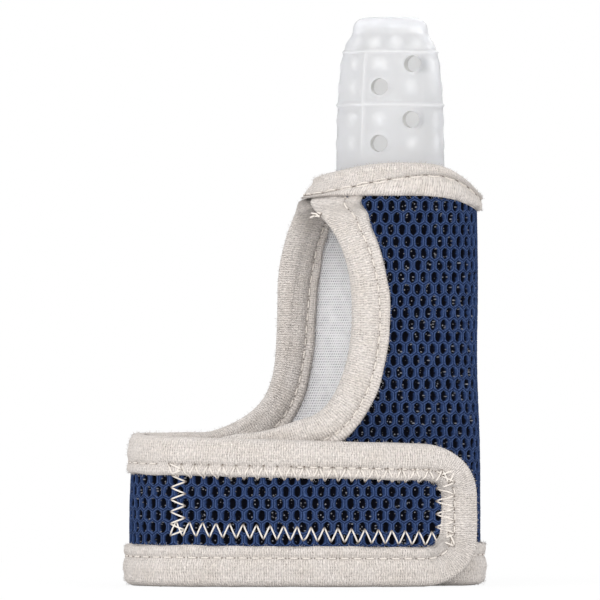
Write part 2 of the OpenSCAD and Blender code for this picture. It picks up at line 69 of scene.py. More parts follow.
# Tape folded over the edges
TAPE_W, TAPE_T, SLOT_GAP, ROLL = 8.2, 1.0, 0.2, 1.7
SLOT_HALF = FLAT_HALF + SLOT_GAP
LEG_W = TAPE_W - ROLL
STITCH_IN = 4.2
STITCH_PITCH = 2.8
THREAD_R = 0.2
PLY_UV = 0.2
NAP_R, FINE_R, ZIG_R = 0.032, 0.85 * THREAD_R, 0.19
CHAIN_PITCH = 4.0

# Heights and the thumb tube
HEM_Z, RIM_Z, STRAP_TOP_Z = ROLL, SLEEVE_H - ROLL, BAND_H - ROLL
SEAM_Z, OPEN_LOW_Z = SLEEVE_H - 9.2, BAND_H + 1.6
TAPE_END_Z = SEAM_Z - 0.8
COLLAR_LEG = 5.6
COLLAR_LOW_Z = RIM_Z - COLLAR_LEG
TUCK_Z = COLLAR_LOW_Z + 1.6
NARROW_SOFT, NARROW_TOP_Z = 0.04, SLEEVE_H - 2
CAP_D = 24.0
TUBE_D = CAP_D + 2 * (0.3 + SHEET_T + SLOT_GAP + TAPE_T)
TUBE_RIGHT = LOOP_W / 2 - 0.8
TUBE_LEFT = TUBE_RIGHT - TUBE_D - 3.0
THUMB_X = TUBE_LEFT + TUBE_D / 2

# Strap
STRAP_LEN, STRAP_END_R, STRAP_FALL = 88.4, 12.0, 2.4
STRAP_LIFT, LIFT_ANGLE = 5.88, 60.0
FOLD_RUN = 5.0
TAIL_X, TAIL_CORNER, TAIL_LOW_Z = LOOP_W / 2 - 60, 5.0, TAPE_W + 0.3

# Mesh cells: columns and rows of staggered long hexagons
CELL_W, CELL_H, CELL_SLOPE = 2.54, 2.62, 0.74
HOLE_W, HOLE_H, HOLE_POWER = 1.36, 2.5, 1.3
HOLE_DEPTH, YARN_LIFT, SEAM_DEPTH = 0.8, 0.15, 0.1
CELL_HALF, CELL_REACH = CELL_W / 2, (CELL_H + CELL_SLOPE) / 2
CELL_TILT = CELL_SLOPE / CELL_HALF
SKIRT = MESH_T - 0.2


def lerp(a, b, t):
    return a + (b - a) * t


def ease(t):
    t = np.clip(t, 0, 1)
    return t * t * (3 - 2 * t)


def bell(t):
    return np.exp(-t ** 2)


def pair(a, b):
    return np.stack([a, b], axis=-1)


def sign_power(v, p):
    return np.sign(v) * np.abs(v) ** p


def unit(v):
    return v / np.maximum(np.linalg.norm(v, axis=-1, keepdims=True), 1e-9)


def narrowing(z):
    """0 at the wrist band and 1 in the collar: a straight ramp whose two ends are rounded off."""
    u = np.clip((z - BAND_H) / (NARROW_TOP_Z - BAND_H), 0, 1)
    s = NARROW_SOFT
    ramp = np.where(u < s, u * u / (2 * s), np.where(u > 1 - s, 1 - s - (1 - u) ** 2 / (2 * s), u - s / 2))
    return ramp / (1 - s)


def left_x(z):
    """The left fold leans in to the tube, and is drawn in at the top of the band and at the tacks."""
    at_band = BAND_PINCH * bell((z - STRAP_TOP_Z) / BAND_PINCH_SPAN)
    at_tacks = TACK_PINCH * bell((z - SEAM_Z) / TACK_PINCH_SPAN)
    return lerp(-LOOP_W / 2, TUBE_LEFT, narrowing(z)) + (at_band + at_tacks)


def right_x(z):
    """The right fold, drawn in a little above the wrist band."""
    drawn_in = RIGHT_PINCH * bell((z - RIGHT_PINCH_Z) / RIGHT_PINCH_SPAN)
    return lerp(LOOP_W / 2, TUBE_RIGHT, narrowing(z)) - drawn_in


def loop_size(z):
    """Middle, half width, half depth and squareness of the loop at a height."""
    n = narrowing(z)
    left, right = left_x(z), right_x(z)
    depth, square = lerp(LOOP_D, TUBE_D, n), lerp(LOOP_SQUARE, TUBE_SQUARE, n)
    return (left + right) / 2, (right - left) / 2, depth / 2, square


def rim_dip(across, z):
    """How far the rim sinks at its sides: a fourth power at the right fold, a square at the seam."""
    right = np.clip((z - SLEEVE_H + DIP_FADE) / DIP_FADE, 0, 1.2) ** 2
    left = np.clip((z - SLEEVE_H + TAPE_W) / TAPE_W, 0, 1.2)
    return np.where(across > 0, DIP_RIGHT * across ** 4 * right, DIP_LEFT * across ** 2 * left)


def on_sleeve(angle, z, out):
    """A point of the sleeve: a rounded-off rectangle (superellipse) at each height, grown by out.

    The angle in degrees runs from the front (negative) through the right fold (0) to the back.
    """
    angle, z, out = np.broadcast_arrays(np.radians(angle), np.asarray(z, float), np.asarray(out, float))
    mid, half_w, half_d, square = loop_size(z)
    across = sign_power(np.cos(angle), 2 / square)
    deep = sign_power(np.sin(angle), 2 / square)
    return np.stack(
        [mid + (half_w + out) * across, Y_MID + (half_d + out) * deep, z - rim_dip(across, z)], axis=-1
    )


def angle_at(x, z):
    mid, half_w, _, square = loop_size(z)
    return np.degrees(np.arccos(sign_power(np.clip((x - mid) / half_w, -1, 1), square / 2)))


def run_of(points):
    """Length along a polyline at each of its points."""
    return np.concatenate([[0], np.cumsum(np.linalg.norm(np.diff(points, axis=0), axis=-1))])


def read_line(line, run, at):
    """A polyline's values at lengths along its run."""
    return np.stack([np.interp(at, run, line[:, k]) for k in range(line.shape[1])], axis=-1)


def resample(line, count):
    """The same polyline at equal steps of length."""
    run = run_of(line)
    return read_line(line, run, np.linspace(0, run[-1], count))


def smoothed(line, width):
    """A running bell-weighted mean along a list of points, with its ends kept by reflection."""
    reach = 3 * width
    before = 2 * line[0] - line[reach:0:-1]
    after = 2 * line[-1] - line[-2:-reach - 2:-1]
    long_line = np.concatenate([before, line, after])
    weight = np.exp(-0.5 * (np.arange(-reach, reach + 1) / width) ** 2)
    weight /= weight.sum()
    return np.stack([np.convolve(long_line[:, k], weight, "valid") for k in range(line.shape[1])], axis=-1)


# The strap leaves the fold at 180 degrees and goes round the front, lifted over the sleeve
def strap_point(angle, z, out):
    return on_sleeve(angle, z, out + STRAP_LIFT * ease((angle - 180) / LIFT_ANGLE))


STRAP_ANGLES = np.arange(150, 360.01, 0.5)
STRAP_RUN = run_of(strap_point(STRAP_ANGLES, HEM_Z, -FLAT_HALF))
STRAP_RUN = STRAP_RUN - np.interp(180, STRAP_ANGLES, STRAP_RUN)


def on_strap(along, z, out):
    """A point of the strap by its length from the fold; its top edge falls evenly towards the tip."""
    along = np.asarray(along, float)
    fall = 1 - STRAP_FALL / BAND_H * np.clip(along, 0, None) / STRAP_LEN
    return strap_point(np.interp(along, STRAP_RUN, STRAP_ANGLES), z * fall, out)


FOLD_ANGLE = float(np.interp(-FOLD_RUN, STRAP_RUN, STRAP_ANGLES))

# Edges of the finger opening as [x, z]
OPEN_LEFT = float(left_x(SEAM_Z))
FRONT_CUT, BOW_SQUARE = 12.9, 2.05
BACK_X, BACK_TOP_X, BACK_TURN, BACK_SWEEP, BACK_FADE = THUMB_X - 23.6, OPEN_LEFT + 1.2, 20.0, 17.0, 5.2


def front_edge_x(z):
    """The front edge: a flattened bow between the band and the seam."""
    middle, half = (SEAM_Z + OPEN_LOW_Z) / 2, (SEAM_Z - OPEN_LOW_Z) / 2
    bow = np.maximum(0, 1 - (np.abs(z - middle) / half) ** BOW_SQUARE) ** (1 / BOW_SQUARE)
    return OPEN_LEFT + FRONT_CUT * bow


def back_edge_x(z):
    """The back edge: it sweeps out into the band below and turns to the seam above."""
    turn = np.clip((z - SEAM_Z + BACK_TURN) / BACK_TURN, 0, 1)
    return lerp(BACK_X, BACK_TOP_X, turn ** 2) - BACK_SWEEP * np.exp(-(z - STRAP_TOP_Z) / BACK_FADE)


def tuck_of(edge_x):
    """The last stretch of an opening's edge, straight up under the collar."""
    z = np.linspace(TAPE_END_Z, TUCK_Z, 9)[1:]
    return pair(np.full(len(z), edge_x(TAPE_END_Z)), z)


def front_line():
    """The front edge: up the sleeve's cut end, round its corner, along the band and up the bow."""
    turn = np.radians(np.linspace(0, 90, 24))
    rise = np.linspace(0.02, 1, 60)
    bow_z = lerp(OPEN_LOW_Z, TAPE_END_Z, (1 - np.cos(np.pi * np.linspace(0.06, 1, 300))) / 2)
    tail = pair(np.full(24, TAIL_X), np.linspace(TAIL_LOW_Z, STRAP_TOP_Z - TAIL_CORNER, 24))
    corner = pair(TAIL_X + TAIL_CORNER * (1 - np.cos(turn)), STRAP_TOP_Z - TAIL_CORNER * (1 - np.sin(turn)))
    top = pair(lerp(TAIL_X + TAIL_CORNER, OPEN_LEFT, rise), lerp(STRAP_TOP_Z, OPEN_LOW_Z, rise ** 2))
    bow = pair(front_edge_x(bow_z), bow_z)
    return np.concatenate([tail, corner[1:], top, bow, tuck_of(front_edge_x)])


def back_line():
    """The back edge: from the fold along the top of the band, then up."""
    end = angle_at(back_edge_x(STRAP_TOP_Z), STRAP_TOP_Z)
    fold = on_sleeve(np.linspace(FOLD_ANGLE, end, 40)[:-1], STRAP_TOP_Z, 0)[:, 0]
    z = lerp(STRAP_TOP_Z, TAPE_END_Z, np.linspace(0, 1, 300) ** 1.4)
    level = pair(fold, np.full(len(fold), STRAP_TOP_Z))
    return np.concatenate([level, pair(back_edge_x(z), z), tuck_of(back_edge_x)])


FRONT_LINE = smoothed(resample(front_line(), 420), 7)
BACK_LINE = smoothed(resample(back_line(), 420), 7)


# Meshes
def put(name, data):
    """A new object in the scene."""
    thing = bpy.data.objects.new(name, data)
    bpy.context.scene.collection.objects.link(thing)
    return thing


def stand_in(piece, *nodes, body="sleeve"):
    """Shows a piece in place of nodes of the solids, and puts it on its body if it has one."""
    if body:
        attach(piece, body)
    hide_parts(*nodes)


def ring_quads(rows, cols):
    """Corner indices of every face of a grid whose last row and column join its first ones, row by row."""
    r, c = np.meshgrid(np.arange(rows), np.arange(cols), indexing="ij")
    up, nxt = (r + 1) % rows, (c + 1) % cols
    return np.stack([r * cols + c, r * cols + nxt, up * cols + nxt, up * cols + c], -1)


def quads_of(rows, cols, wrap=False):
    """Corner indices (row, column) of every face of a grid; wrap joins its last row to its first."""
    r, c = np.meshgrid(np.arange(rows if wrap else rows - 1), np.arange(cols - 1), indexing="ij")
    r, c = r.ravel(), c.ravel()
    return np.stack([r, r + 1, r + 1, r], -1), np.stack([c, c, c + 1, c + 1], -1)


def make_piece(name, points, quads, uv, finish, mark=None):
    """A mesh of four-sided faces, with a UV in millimetres at each corner of each face.

    The mark at each point tells its finish how near a needle hole a thread is, where painted shade goes, or
    how thick the cap is, which sets the cap's painted highlight and shade.
    """
    mesh = bpy.data.meshes.new(name)
    mesh.vertices.add(len(points))
    mesh.vertices.foreach_set("co", (points * MM).astype(np.float32).ravel())
    mesh.loops.add(quads.size)
    mesh.loops.foreach_set("vertex_index", quads.astype(np.int32).ravel())
    mesh.polygons.add(len(quads))
    mesh.polygons.foreach_set("loop_start", np.arange(0, quads.size, 4, dtype=np.int32))
    mesh.polygons.foreach_set("use_smooth", np.ones(len(quads), bool))
    layer = mesh.uv_layers.new(name="cloth")
    layer.data.foreach_set("uv", uv.astype(np.float32).ravel())
    mesh.materials.append(finish)
    if mark is not None:
        marks = mesh.attributes.new("mark", "FLOAT", "POINT").data
        marks.foreach_set("value", mark.astype(np.float32).ravel())
    mesh.update(calc_edges=True)
    mesh.validate()
    piece = put(name, mesh)
    return piece


def volume_of(points, quads):
    a, b, c, d = (points[quads[:, k]] for k in range(4))
    return float((np.cross(a, b) * c).sum() + (np.cross(a, c) * d).sum())


def closed_piece(name, points, quads, uv, finish, mark=None):
    """A closed mesh, turned the right way out."""
    if volume_of(points, quads) < 0:
        quads, uv = quads[:, ::-1], uv[:, ::-1]
    return make_piece(name, points, quads, uv, finish, mark)


def slab_piece(name, outer, inner, uv, finish, ring=False):
    """A closed piece between two matching grids: their faces, and strips that join their edges.

    uv is a grid of the same size, with one row more where the grid is a ring.
    """
    rows, cols = outer.shape[:2]
    count = rows * cols
    r, c = quads_of(rows, cols, ring)
    face = (r % rows) * cols + c
    parts, uvs = [face, count + face[:, ::-1]], [uv[r, c], uv[r[:, ::-1], c[:, ::-1]]]
    grid = np.arange(count).reshape(rows, cols)
    sides = np.concatenate([grid, grid[:1]]) if ring else grid
    borders = [(sides[:, 0], uv[:, 0], 1), (sides[:, -1], uv[:, -1], -1)]
    if not ring:
        borders += [(grid[0], uv[0], -1), (grid[-1], uv[-1], 1)]
    for edge, edge_uv, way in borders:
        a, b, uv_a, uv_b = edge[:-1], edge[1:], edge_uv[:-1], edge_uv[1:]
        parts.append(np.stack([a, b, count + b, count + a], -1)[:, ::way])
        uvs.append(np.stack([uv_a, uv_b, uv_b, uv_a], 1)[:, ::way])
    points = np.concatenate([outer.reshape(-1, 3), inner.reshape(-1, 3)])
    return closed_piece(name, points, np.concatenate(parts), np.concatenate(uvs), finish)


def tube_piece(name, centres, ups, radius, finish, sides=6):
    """Runs of thread: rings of points round each run's centre line, thinner at its ends and closed there."""
    runs, rings = centres.shape[:2]
    tangent = unit(np.gradient(centres, axis=1))
    side = unit(np.cross(tangent, ups))
    up = np.cross(side, tangent)
    turn = 2 * np.pi * np.arange(sides) / sides
    size = radius * np.interp(np.linspace(0, 1, rings), [0, 0.12, 0.88, 1], [0.8, 1, 1, 0.8])
    points = centres[:, :, None] + size[None, :, None, None] * (
        np.cos(turn)[:, None] * side[:, :, None] + np.sin(turn)[:, None] * up[:, :, None]
    )
    walls = ring_quads(rings, sides)[:-1]
    quads = (np.arange(runs)[:, None, None, None] * rings * sides + walls).reshape(-1, 4)
    step = np.linalg.norm(np.diff(centres, axis=1), axis=-1).sum(1)[:, None, None, None] / (rings - 1)
    along = step * (np.arange(rings - 1)[:, None, None] + [0, 0, 1, 1])
    round_it = PLY_UV * (np.arange(sides)[:, None] + [0, 1, 1, 0])
    uv = pair(*np.broadcast_arrays(along, round_it)).reshape(-1, 4, 2)
    ends = []
    for ring, order in ((0, [0, 3, 2, 1]), (rings - 1, [0, 1, 2, 3])):
        first = (np.arange(runs) * rings + ring) * sides
        ends += [first[:, None] + np.array([0, k, k + 1, k + 2])[order] for k in range(1, sides - 2, 2)]
    ends = np.concatenate(ends)
    quads = np.concatenate([quads, ends])
    uv = np.concatenate([uv, np.zeros((len(ends), 4, 2))])
    # How near a needle hole each ring is: the thread's finish paints shade there
    near_hole = np.abs(np.linspace(-1, 1, rings)) ** 3
    mark = np.broadcast_to(near_hole[None, :, None], (runs, rings, sides))
    return closed_piece(name, points.reshape(-1, 3), quads, uv, finish, mark)


def waves(run, lengths, seed):
    """A soft unevenness along a run: a few sine waves of seeded phase, between about -1 and 1."""
    phases = np.random.default_rng(SEED + seed).uniform(0, 2 * np.pi, len(lengths))
    total = sum(np.sin(2 * np.pi * run / size + phase) for size, phase in zip(lengths, phases))
    return total / len(lengths)


# Materials
def new_finish(name, colour, roughness):
    finish = bpy.data.materials.new(name)
    finish.use_nodes = True
    finish.diffuse_color = (*colour, 1)
    tree = finish.node_tree
    join(tree, tree.nodes["Principled BSDF"], Base_Color=(*colour, 1), Roughness=roughness)
    return finish, tree


def join(tree, node, **inputs):
    """Sets a node's inputs to values, or joins them to sockets; i0 is the first input, and so on."""
    for key, value in inputs.items():
        socket = node.inputs[int(key[1:]) if key[1:].isdigit() else key.replace("_", " ")]
        if isinstance(value, bpy.types.NodeSocket):
            tree.links.new(value, socket)
        else:
            socket.default_value = value
    return node


def add(tree, kind, settings=None, **inputs):
    """A new node with its settings and its inputs."""
    node = tree.nodes.new(kind)
    for key, value in (settings or {}).items():
        setattr(node, key, value)
    return join(tree, node, **inputs)


def sums(tree, how, a, b=0.0, c=0.0):
    return add(tree, "ShaderNodeMath", {"operation": how}, i0=a, i1=b, i2=c).outputs[0]


def cloth_uv(tree):
    uv = add(tree, "ShaderNodeUVMap", {"uv_map": "cloth"}).outputs[0]
    parts = add(tree, "ShaderNodeSeparateXYZ", i0=uv)
    return uv, parts.outputs[0], parts.outputs[1]


def ramp(tree, value, stops):
    """Colours or greys at places from 0 to 1, straight between them."""
    node = add(tree, "ShaderNodeValToRGB", i0=value)
    points = node.color_ramp.elements
    for k, (at, colour) in enumerate(stops):
        point = points[k] if k < 2 else points.new(at)
        point.position, point.color = at, (*np.broadcast_to(colour, 3).astype(float), 1)
    return node.outputs[0]


def noise(tree, where, scale, detail=2.0, rough=0.5):
    node = add(tree, "ShaderNodeTexNoise", Vector=where, Scale=scale, Detail=detail, Roughness=rough)
    return node.outputs[0]


def tint(tree, factor, a, b, how="MIX"):
    """Two colours mixed; a and b are sockets or colours."""
    a, b = (value if isinstance(value, bpy.types.NodeSocket) else (*value, 1) for value in (a, b))
    node = add(tree, "ShaderNodeMix", {"data_type": "RGBA", "blend_type": how}, i0=factor, i6=a, i7=b)
    return node.outputs[2]


def finished(finish, colour, height, depth, **inputs):
    """The finish with its colour, a bump of a depth in millimetres, and other inputs set or joined."""
    tree = finish.node_tree
    bump = add(tree, "ShaderNodeBump", Height=height, Distance=depth * MM, Strength=1.0)
    join(tree, tree.nodes["Principled BSDF"], Base_Color=colour, Normal=bump.outputs[0], **inputs)
    return finish


def cell_distance(u, v):
    """Distances in the nearer of two staggered sets of long hexagons.

    The first is 1 at the cell's border, the second 1 at the rim of its hole.
    """
    a = np.abs((u / CELL_W + 0.5) % 1 - 0.5) * CELL_W
    b = np.abs((v / (2 * CELL_H) + 0.5) % 1 - 0.5) * 2 * CELL_H
    a2, b2 = CELL_HALF - a, CELL_H - b
    near, far = (np.maximum(x / CELL_HALF, (y + CELL_TILT * x) / CELL_REACH) for x, y in ((a, b), (a2, b2)))
    swap = far < near
    a, b = np.where(swap, a2, a), np.where(swap, b2, b)
    return np.minimum(near, far), np.hypot(2 * a / HOLE_W, (2 * b / HOLE_H) ** HOLE_POWER)


def mesh_finish():
    """Navy spacer mesh: long holes in a knitted net, their floors darkened with painted shade and pale
    painted glints in some of them.

    A painted highlight runs along the raised yarn round each cell, with painted shade in the seam between
    cells.
    """
    finish, tree = new_finish("navy_mesh", (0.03, 0.06, 0.17), 0.85)
    uv, u, v = cloth_uv(tree)
    wobble = sums(tree, "MULTIPLY_ADD", noise(tree, uv, 0.8), 0.44, -0.22)
    a = sums(tree, "PINGPONG", sums(tree, "ADD", u, wobble), CELL_HALF)
    b = sums(tree, "PINGPONG", sums(tree, "ADD", v, wobble), CELL_H)
    a2, b2 = sums(tree, "SUBTRACT", CELL_HALF, a), sums(tree, "SUBTRACT", CELL_H, b)

    def border(x, y):
        rise = sums(tree, "DIVIDE", sums(tree, "MULTIPLY_ADD", x, CELL_TILT, y), CELL_REACH)
        return sums(tree, "SMOOTH_MAX", sums(tree, "DIVIDE", x, CELL_HALF), rise, 0.12)

    def rim(x, y):
        tall = sums(tree, "POWER", sums(tree, "MULTIPLY", y, 2 / HOLE_H), HOLE_POWER)
        wide = sums(tree, "MULTIPLY", x, 2 / HOLE_W)
        return sums(tree, "SQRT", sums(tree, "MULTIPLY_ADD", wide, wide, sums(tree, "MULTIPLY", tall, tall)))

    fuzz = sums(tree, "MULTIPLY_ADD", noise(tree, uv, 5.0, 3.0, 0.7), 0.2, -0.1)
    d = sums(tree, "ADD", sums(tree, "MINIMUM", border(a, b), border(a2, b2)), fuzz)
    hole = sums(tree, "ADD", sums(tree, "MINIMUM", rim(a, b), rim(a2, b2)), sums(tree, "MULTIPLY", fuzz, 2.0))
    # Painted highlight on the raised yarn round each cell (0.79 to 0.86) and painted shade in the sunk seam
    # between cells (0.93 to 1)
    colour = ramp(tree, d, [
        (0.0, (0.017, 0.033, 0.093)), (1.0, (0.009, 0.018, 0.06)), (0.7, (0.02, 0.039, 0.107)),
        (0.79, (0.054, 0.091, 0.212)), (0.86, (0.068, 0.115, 0.262)), (0.93, (0.022, 0.042, 0.115)),
    ])
    yarn = noise(tree, uv, 8.0, 3.0, 0.7)
    colour = tint(tree, 1.0, colour, ramp(tree, yarn, [(0.3, 0.6), (0.7, 1.35)]), "MULTIPLY")
    # Into the holes: a floor of painted shade, with pale painted glints in some of them
    depth = add(tree, "ShaderNodeMapRange", {"interpolation_type": "SMOOTHSTEP"},
                Value=hole, From_Min=1.08, From_Max=0.82)
    glint_cell = add(tree, "ShaderNodeTexVoronoi", Vector=uv, Scale=1.75, Randomness=0.9)
    chance = add(tree, "ShaderNodeSeparateXYZ", i0=glint_cell.outputs["Color"]).outputs[0]
    lit = sums(tree, "GREATER_THAN", chance, 0.42)
    glint_disc = ramp(tree, glint_cell.outputs["Distance"], [(0.16, 1), (0.36, 0)])
    spot = sums(tree, "MULTIPLY", lit, glint_disc)
    floor = tint(tree, spot, (0.002, 0.0025, 0.006), (0.27, 0.275, 0.3))
    colour = tint(tree, depth.outputs[0], colour, floor)
    line = ramp(tree, d, [(0.72, 0.3), (0.96, 0.0), (0.84, 1.0)])
    return finished(finish, colour, sums(tree, "MULTIPLY_ADD", yarn, 0.6, line), 0.2, Specular_IOR_Level=0.06)


def lining_finish():
    """White warp knit: staggered rows of tiny pits darkened with painted shade, more in some rows than
    others.
    """
    finish, tree = new_finish("white_knit", (0.86, 0.855, 0.865), 0.8)
    uv, u, v = cloth_uv(tree)
    a = sums(tree, "DIVIDE", sums(tree, "PINGPONG", sums(tree, "MULTIPLY_ADD", v, 0.46, u), 0.27), 0.27)
    b = sums(tree, "DIVIDE", sums(tree, "PINGPONG", v, 0.29), 0.29)
    off = sums(tree, "SQRT", sums(tree, "MULTIPLY_ADD", a, a, sums(tree, "MULTIPLY", b, b)))
    pit = ramp(tree, off, [(0.3, 1.0), (0.75, 0.0)])
    # Painted shade in the pits, stronger in some rows than others
    deep = ramp(tree, noise(tree, uv, 0.5, 3.0, 0.6), [(0.35, 0.35), (0.65, 1.0)])
    colour = tint(tree, sums(tree, "MULTIPLY", pit, deep), (0.88, 0.872, 0.88), (0.3, 0.29, 0.32))
    soft = noise(tree, uv, 0.3, 3.0)
    colour = tint(tree, 1.0, colour, ramp(tree, soft, [(0.3, 0.95), (0.7, 1.03)]), "MULTIPLY")
    return finished(finish, colour, sums(tree, "SUBTRACT", 1.0, pit), 0.1, Sheen_Weight=0.1)


def binding_finish():
    """Cream knitted tape: short brushed ribs across the fold with painted shade in the grooves between them,
    a soft grain, and small gaps darkened with painted shade.
    """
    finish, tree = new_finish("cream_knit_tape", (0.73, 0.67, 0.62), 0.9)
    uv, u, v = cloth_uv(tree)
    long_ways = add(tree, "ShaderNodeVectorMath", {"operation": "MULTIPLY"}, i0=uv, i1=(1.0, 0.5, 1.0))
    drift = sums(tree, "MULTIPLY_ADD", noise(tree, uv, 1.1), 0.7, -0.35)
    rib = sums(tree, "DIVIDE", sums(tree, "PINGPONG", sums(tree, "ADD", u, drift), 0.26), 0.26)
    row = sums(tree, "DIVIDE", sums(tree, "PINGPONG", sums(tree, "ADD", v, drift), 0.31), 0.31)
    knit = sums(tree, "MULTIPLY", sums(tree, "SQRT", rib), sums(tree, "MULTIPLY_ADD", row, 0.35, 0.65))
    nap = noise(tree, long_ways.outputs[0], 2.4, 4.0, 0.75)
    cloud = noise(tree, uv, 0.2, 3.0)
    patchy = ramp(tree, noise(tree, uv, 0.45, 4.0, 0.75), [(0.46, 0), (0.62, 1)])
    # Small gaps between the loops, darkened with painted shade
    between = ramp(tree, sums(tree, "ADD", rib, row), [(0.2, 1), (0.62, 0)])
    gap_shade = sums(tree, "MULTIPLY", patchy, between)
    # Painted shade in the grooves between the ribs: darker where the knit is low, which is also where its
    # bump is low
    colour = ramp(tree, knit, [(0.0, (0.60, 0.54, 0.495)), (0.7, (0.78, 0.725, 0.68))])
    colour = tint(tree, 1.0, colour, ramp(tree, nap, [(0.32, 0.62), (0.68, 1.16)]), "MULTIPLY")
    warmth = ramp(tree, cloud, [(0.3, (0.95, 0.935, 0.92)), (0.7, (1.03, 1.03, 1.04))])
    colour = tint(tree, 1.0, colour, warmth, "MULTIPLY")
    colour = tint(tree, gap_shade, colour, (0.2, 0.16, 0.145))
    return finished(finish, colour, sums(tree, "MULTIPLY_ADD", nap, 1.3, knit), 0.25,
                    Specular_IOR_Level=0.12, Sheen_Weight=0.3, Sheen_Roughness=0.6)


def thread_finish():
    """Cream sewing thread: plies that wind round it, with painted shade between the plies and where it dives
    into its needle holes.
    """
    finish, tree = new_finish("cream_thread", (0.80, 0.74, 0.67), 0.7)
    _, u, v = cloth_uv(tree)
    ply = sums(tree, "PINGPONG", sums(tree, "MULTIPLY_ADD", v, 0.5, u), 0.16)
    share = sums(tree, "DIVIDE", ply, 0.16)
    # Painted shade in the grooves between the plies
    shade = ramp(tree, share, [(0.0, (0.58, 0.52, 0.46)), (0.5, (0.80, 0.745, 0.69))])
    # Painted shade where the thread dives into its needle holes, darkest at each stitch's ends
    hole = add(tree, "ShaderNodeAttribute", {"attribute_name": "mark"}).outputs["Fac"]
    shade = tint(tree, ramp(tree, hole, [(0.15, 0), (0.7, 0.92)]), shade, (0.11, 0.08, 0.06))
    return finished(finish, shade, ply, 0.1, Sheen_Weight=0.15)


def silicone_finish():
    """Milky silicone: most of the light goes through it, and some of it spreads inside.

    It has a painted highlight where ribs and bumps thicken it, painted shade inside and on its air holes' cut
    walls, and its satin skin has a faint grain.
    """
    finish, tree = new_finish("milky_silicone", (0.88, 0.885, 0.9), 0.4)
    where = add(tree, "ShaderNodeTexCoord").outputs["Object"]
    cloud = noise(tree, where, 140.0, 3.0)
    colour = ramp(tree, cloud, [(0.3, (0.93, 0.938, 0.975)), (0.7, (0.948, 0.954, 0.982))])
    wall = add(tree, "ShaderNodeAttribute", {"attribute_name": "mark"}).outputs["Fac"]
    # Painted highlight on the ribs and bumps, where the mark is high
    colour = tint(tree, ramp(tree, wall, [(0.33, 0), (1.0, 0.5)]), colour, (0.975, 0.975, 0.975))
    # Painted shade where the mark is near 0: inside the cap and on the cut walls of its air holes
    colour = tint(tree, ramp(tree, wall, [(0.05, 1), (0.2, 0)]), colour, (0.7, 0.695, 0.68))
    through = ramp(tree, wall, [(0.33, 0.78), (1.0, 0.5)])
    grain = noise(tree, where, 2600.0)
    satin = ramp(tree, grain, [(0.3, 0.34), (0.7, 0.44)])
    return finished(finish, colour, grain, 0.02, Subsurface_Weight=0.3, Subsurface_Radius=(1.0, 0.95, 0.9),
                    Subsurface_Scale=0.003, Transmission_Weight=through, IOR=1.18, Roughness=satin)


def hook_finish():
    """Moulded nylon hooks: dark navy, a little glossy."""
    finish, tree = new_finish("hook_tape", (0.02, 0.03, 0.07), 0.4)
    where = add(tree, "ShaderNodeTexCoord").outputs["Object"]
    mottle = noise(tree, where, 900.0)
    colour = ramp(tree, mottle, [(0.3, (0.016, 0.023, 0.055)), (0.7, (0.028, 0.04, 0.09))])
    return finished(finish, colour, mottle, 0.05)


def loop_finish():
    """Brushed loops: a tangle of fine navy yarn."""
    finish, tree = new_finish("loop_tape", (0.03, 0.055, 0.14), 0.95)
    uv, _, _ = cloth_uv(tree)
    tangle = noise(tree, uv, 2.6, 5.0, 0.75)
    colour = ramp(tree, tangle, [(0.3, (0.012, 0.02, 0.055)), (0.7, (0.05, 0.085, 0.2))])
    return finished(finish, colour, tangle, 0.4, Sheen_Weight=0.3)


MESH, LINING, BINDING, THREAD = mesh_finish(), lining_finish(), binding_finish(), thread_finish()
SILICONE, HOOK, LOOP = silicone_finish(), hook_finish(), loop_finish()


# Sleeve cloth
# Tables of the length round the loop by height and angle, and of the angle by height and share of the way
TABLE_ROWS, TABLE_HALF = 64, 720
TABLE_COLS = 2 * TABLE_HALF + 1
TABLE_Z, TABLE_A = np.linspace(0, SLEEVE_H, TABLE_ROWS), np.linspace(-180, 180, TABLE_COLS)
TABLE_RUN = on_sleeve(TABLE_A[None, :], TABLE_Z[:, None], 0)[..., :2]
TABLE_RUN = np.cumsum(np.linalg.norm(np.diff(TABLE_RUN, axis=1, prepend=TABLE_RUN[:, :1]), axis=-1), axis=1)
TABLE_RUN = TABLE_RUN - TABLE_RUN[:, TABLE_HALF:TABLE_HALF + 1]
TABLE_SHARES = np.linspace(-1, 1, TABLE_COLS)
TABLE_BACK = np.stack([np.interp(TABLE_SHARES, row / row[-1], TABLE_A) for row in TABLE_RUN])

# Rows of the sleeve's cloth: how they are cut under the tape at the band's top, and their share in the collar
BAND_CUT, CUT_CLEAR = 5.0, 0.3
BAND_ROWS = 29
COLLAR_SHARE, SEAM_SHARE = 0.12, 0.997
SHARE_WEIGHT = 20.0


def read_table(table, z, across):
    """A table's value at a height and at a place from -1 to 1 across it, read between its entries."""
    fz = np.clip(z / SLEEVE_H, 0, 1) * (TABLE_ROWS - 1.001)
    fa = np.clip((across + 1) / 2, 0, 1) * (TABLE_COLS - 1.001)
    iz, ia = fz.astype(int), fa.astype(int)
    fz, fa = fz - iz, fa - ia
    low = lerp(table[iz, ia], table[iz, ia + 1], fa)
    return lerp(low, lerp(table[iz + 1, ia], table[iz + 1, ia + 1], fa), fz)


def sleeve_run(angle, z):
    """Length round the loop from the right fold."""
    return read_table(TABLE_RUN, z, angle / 180)


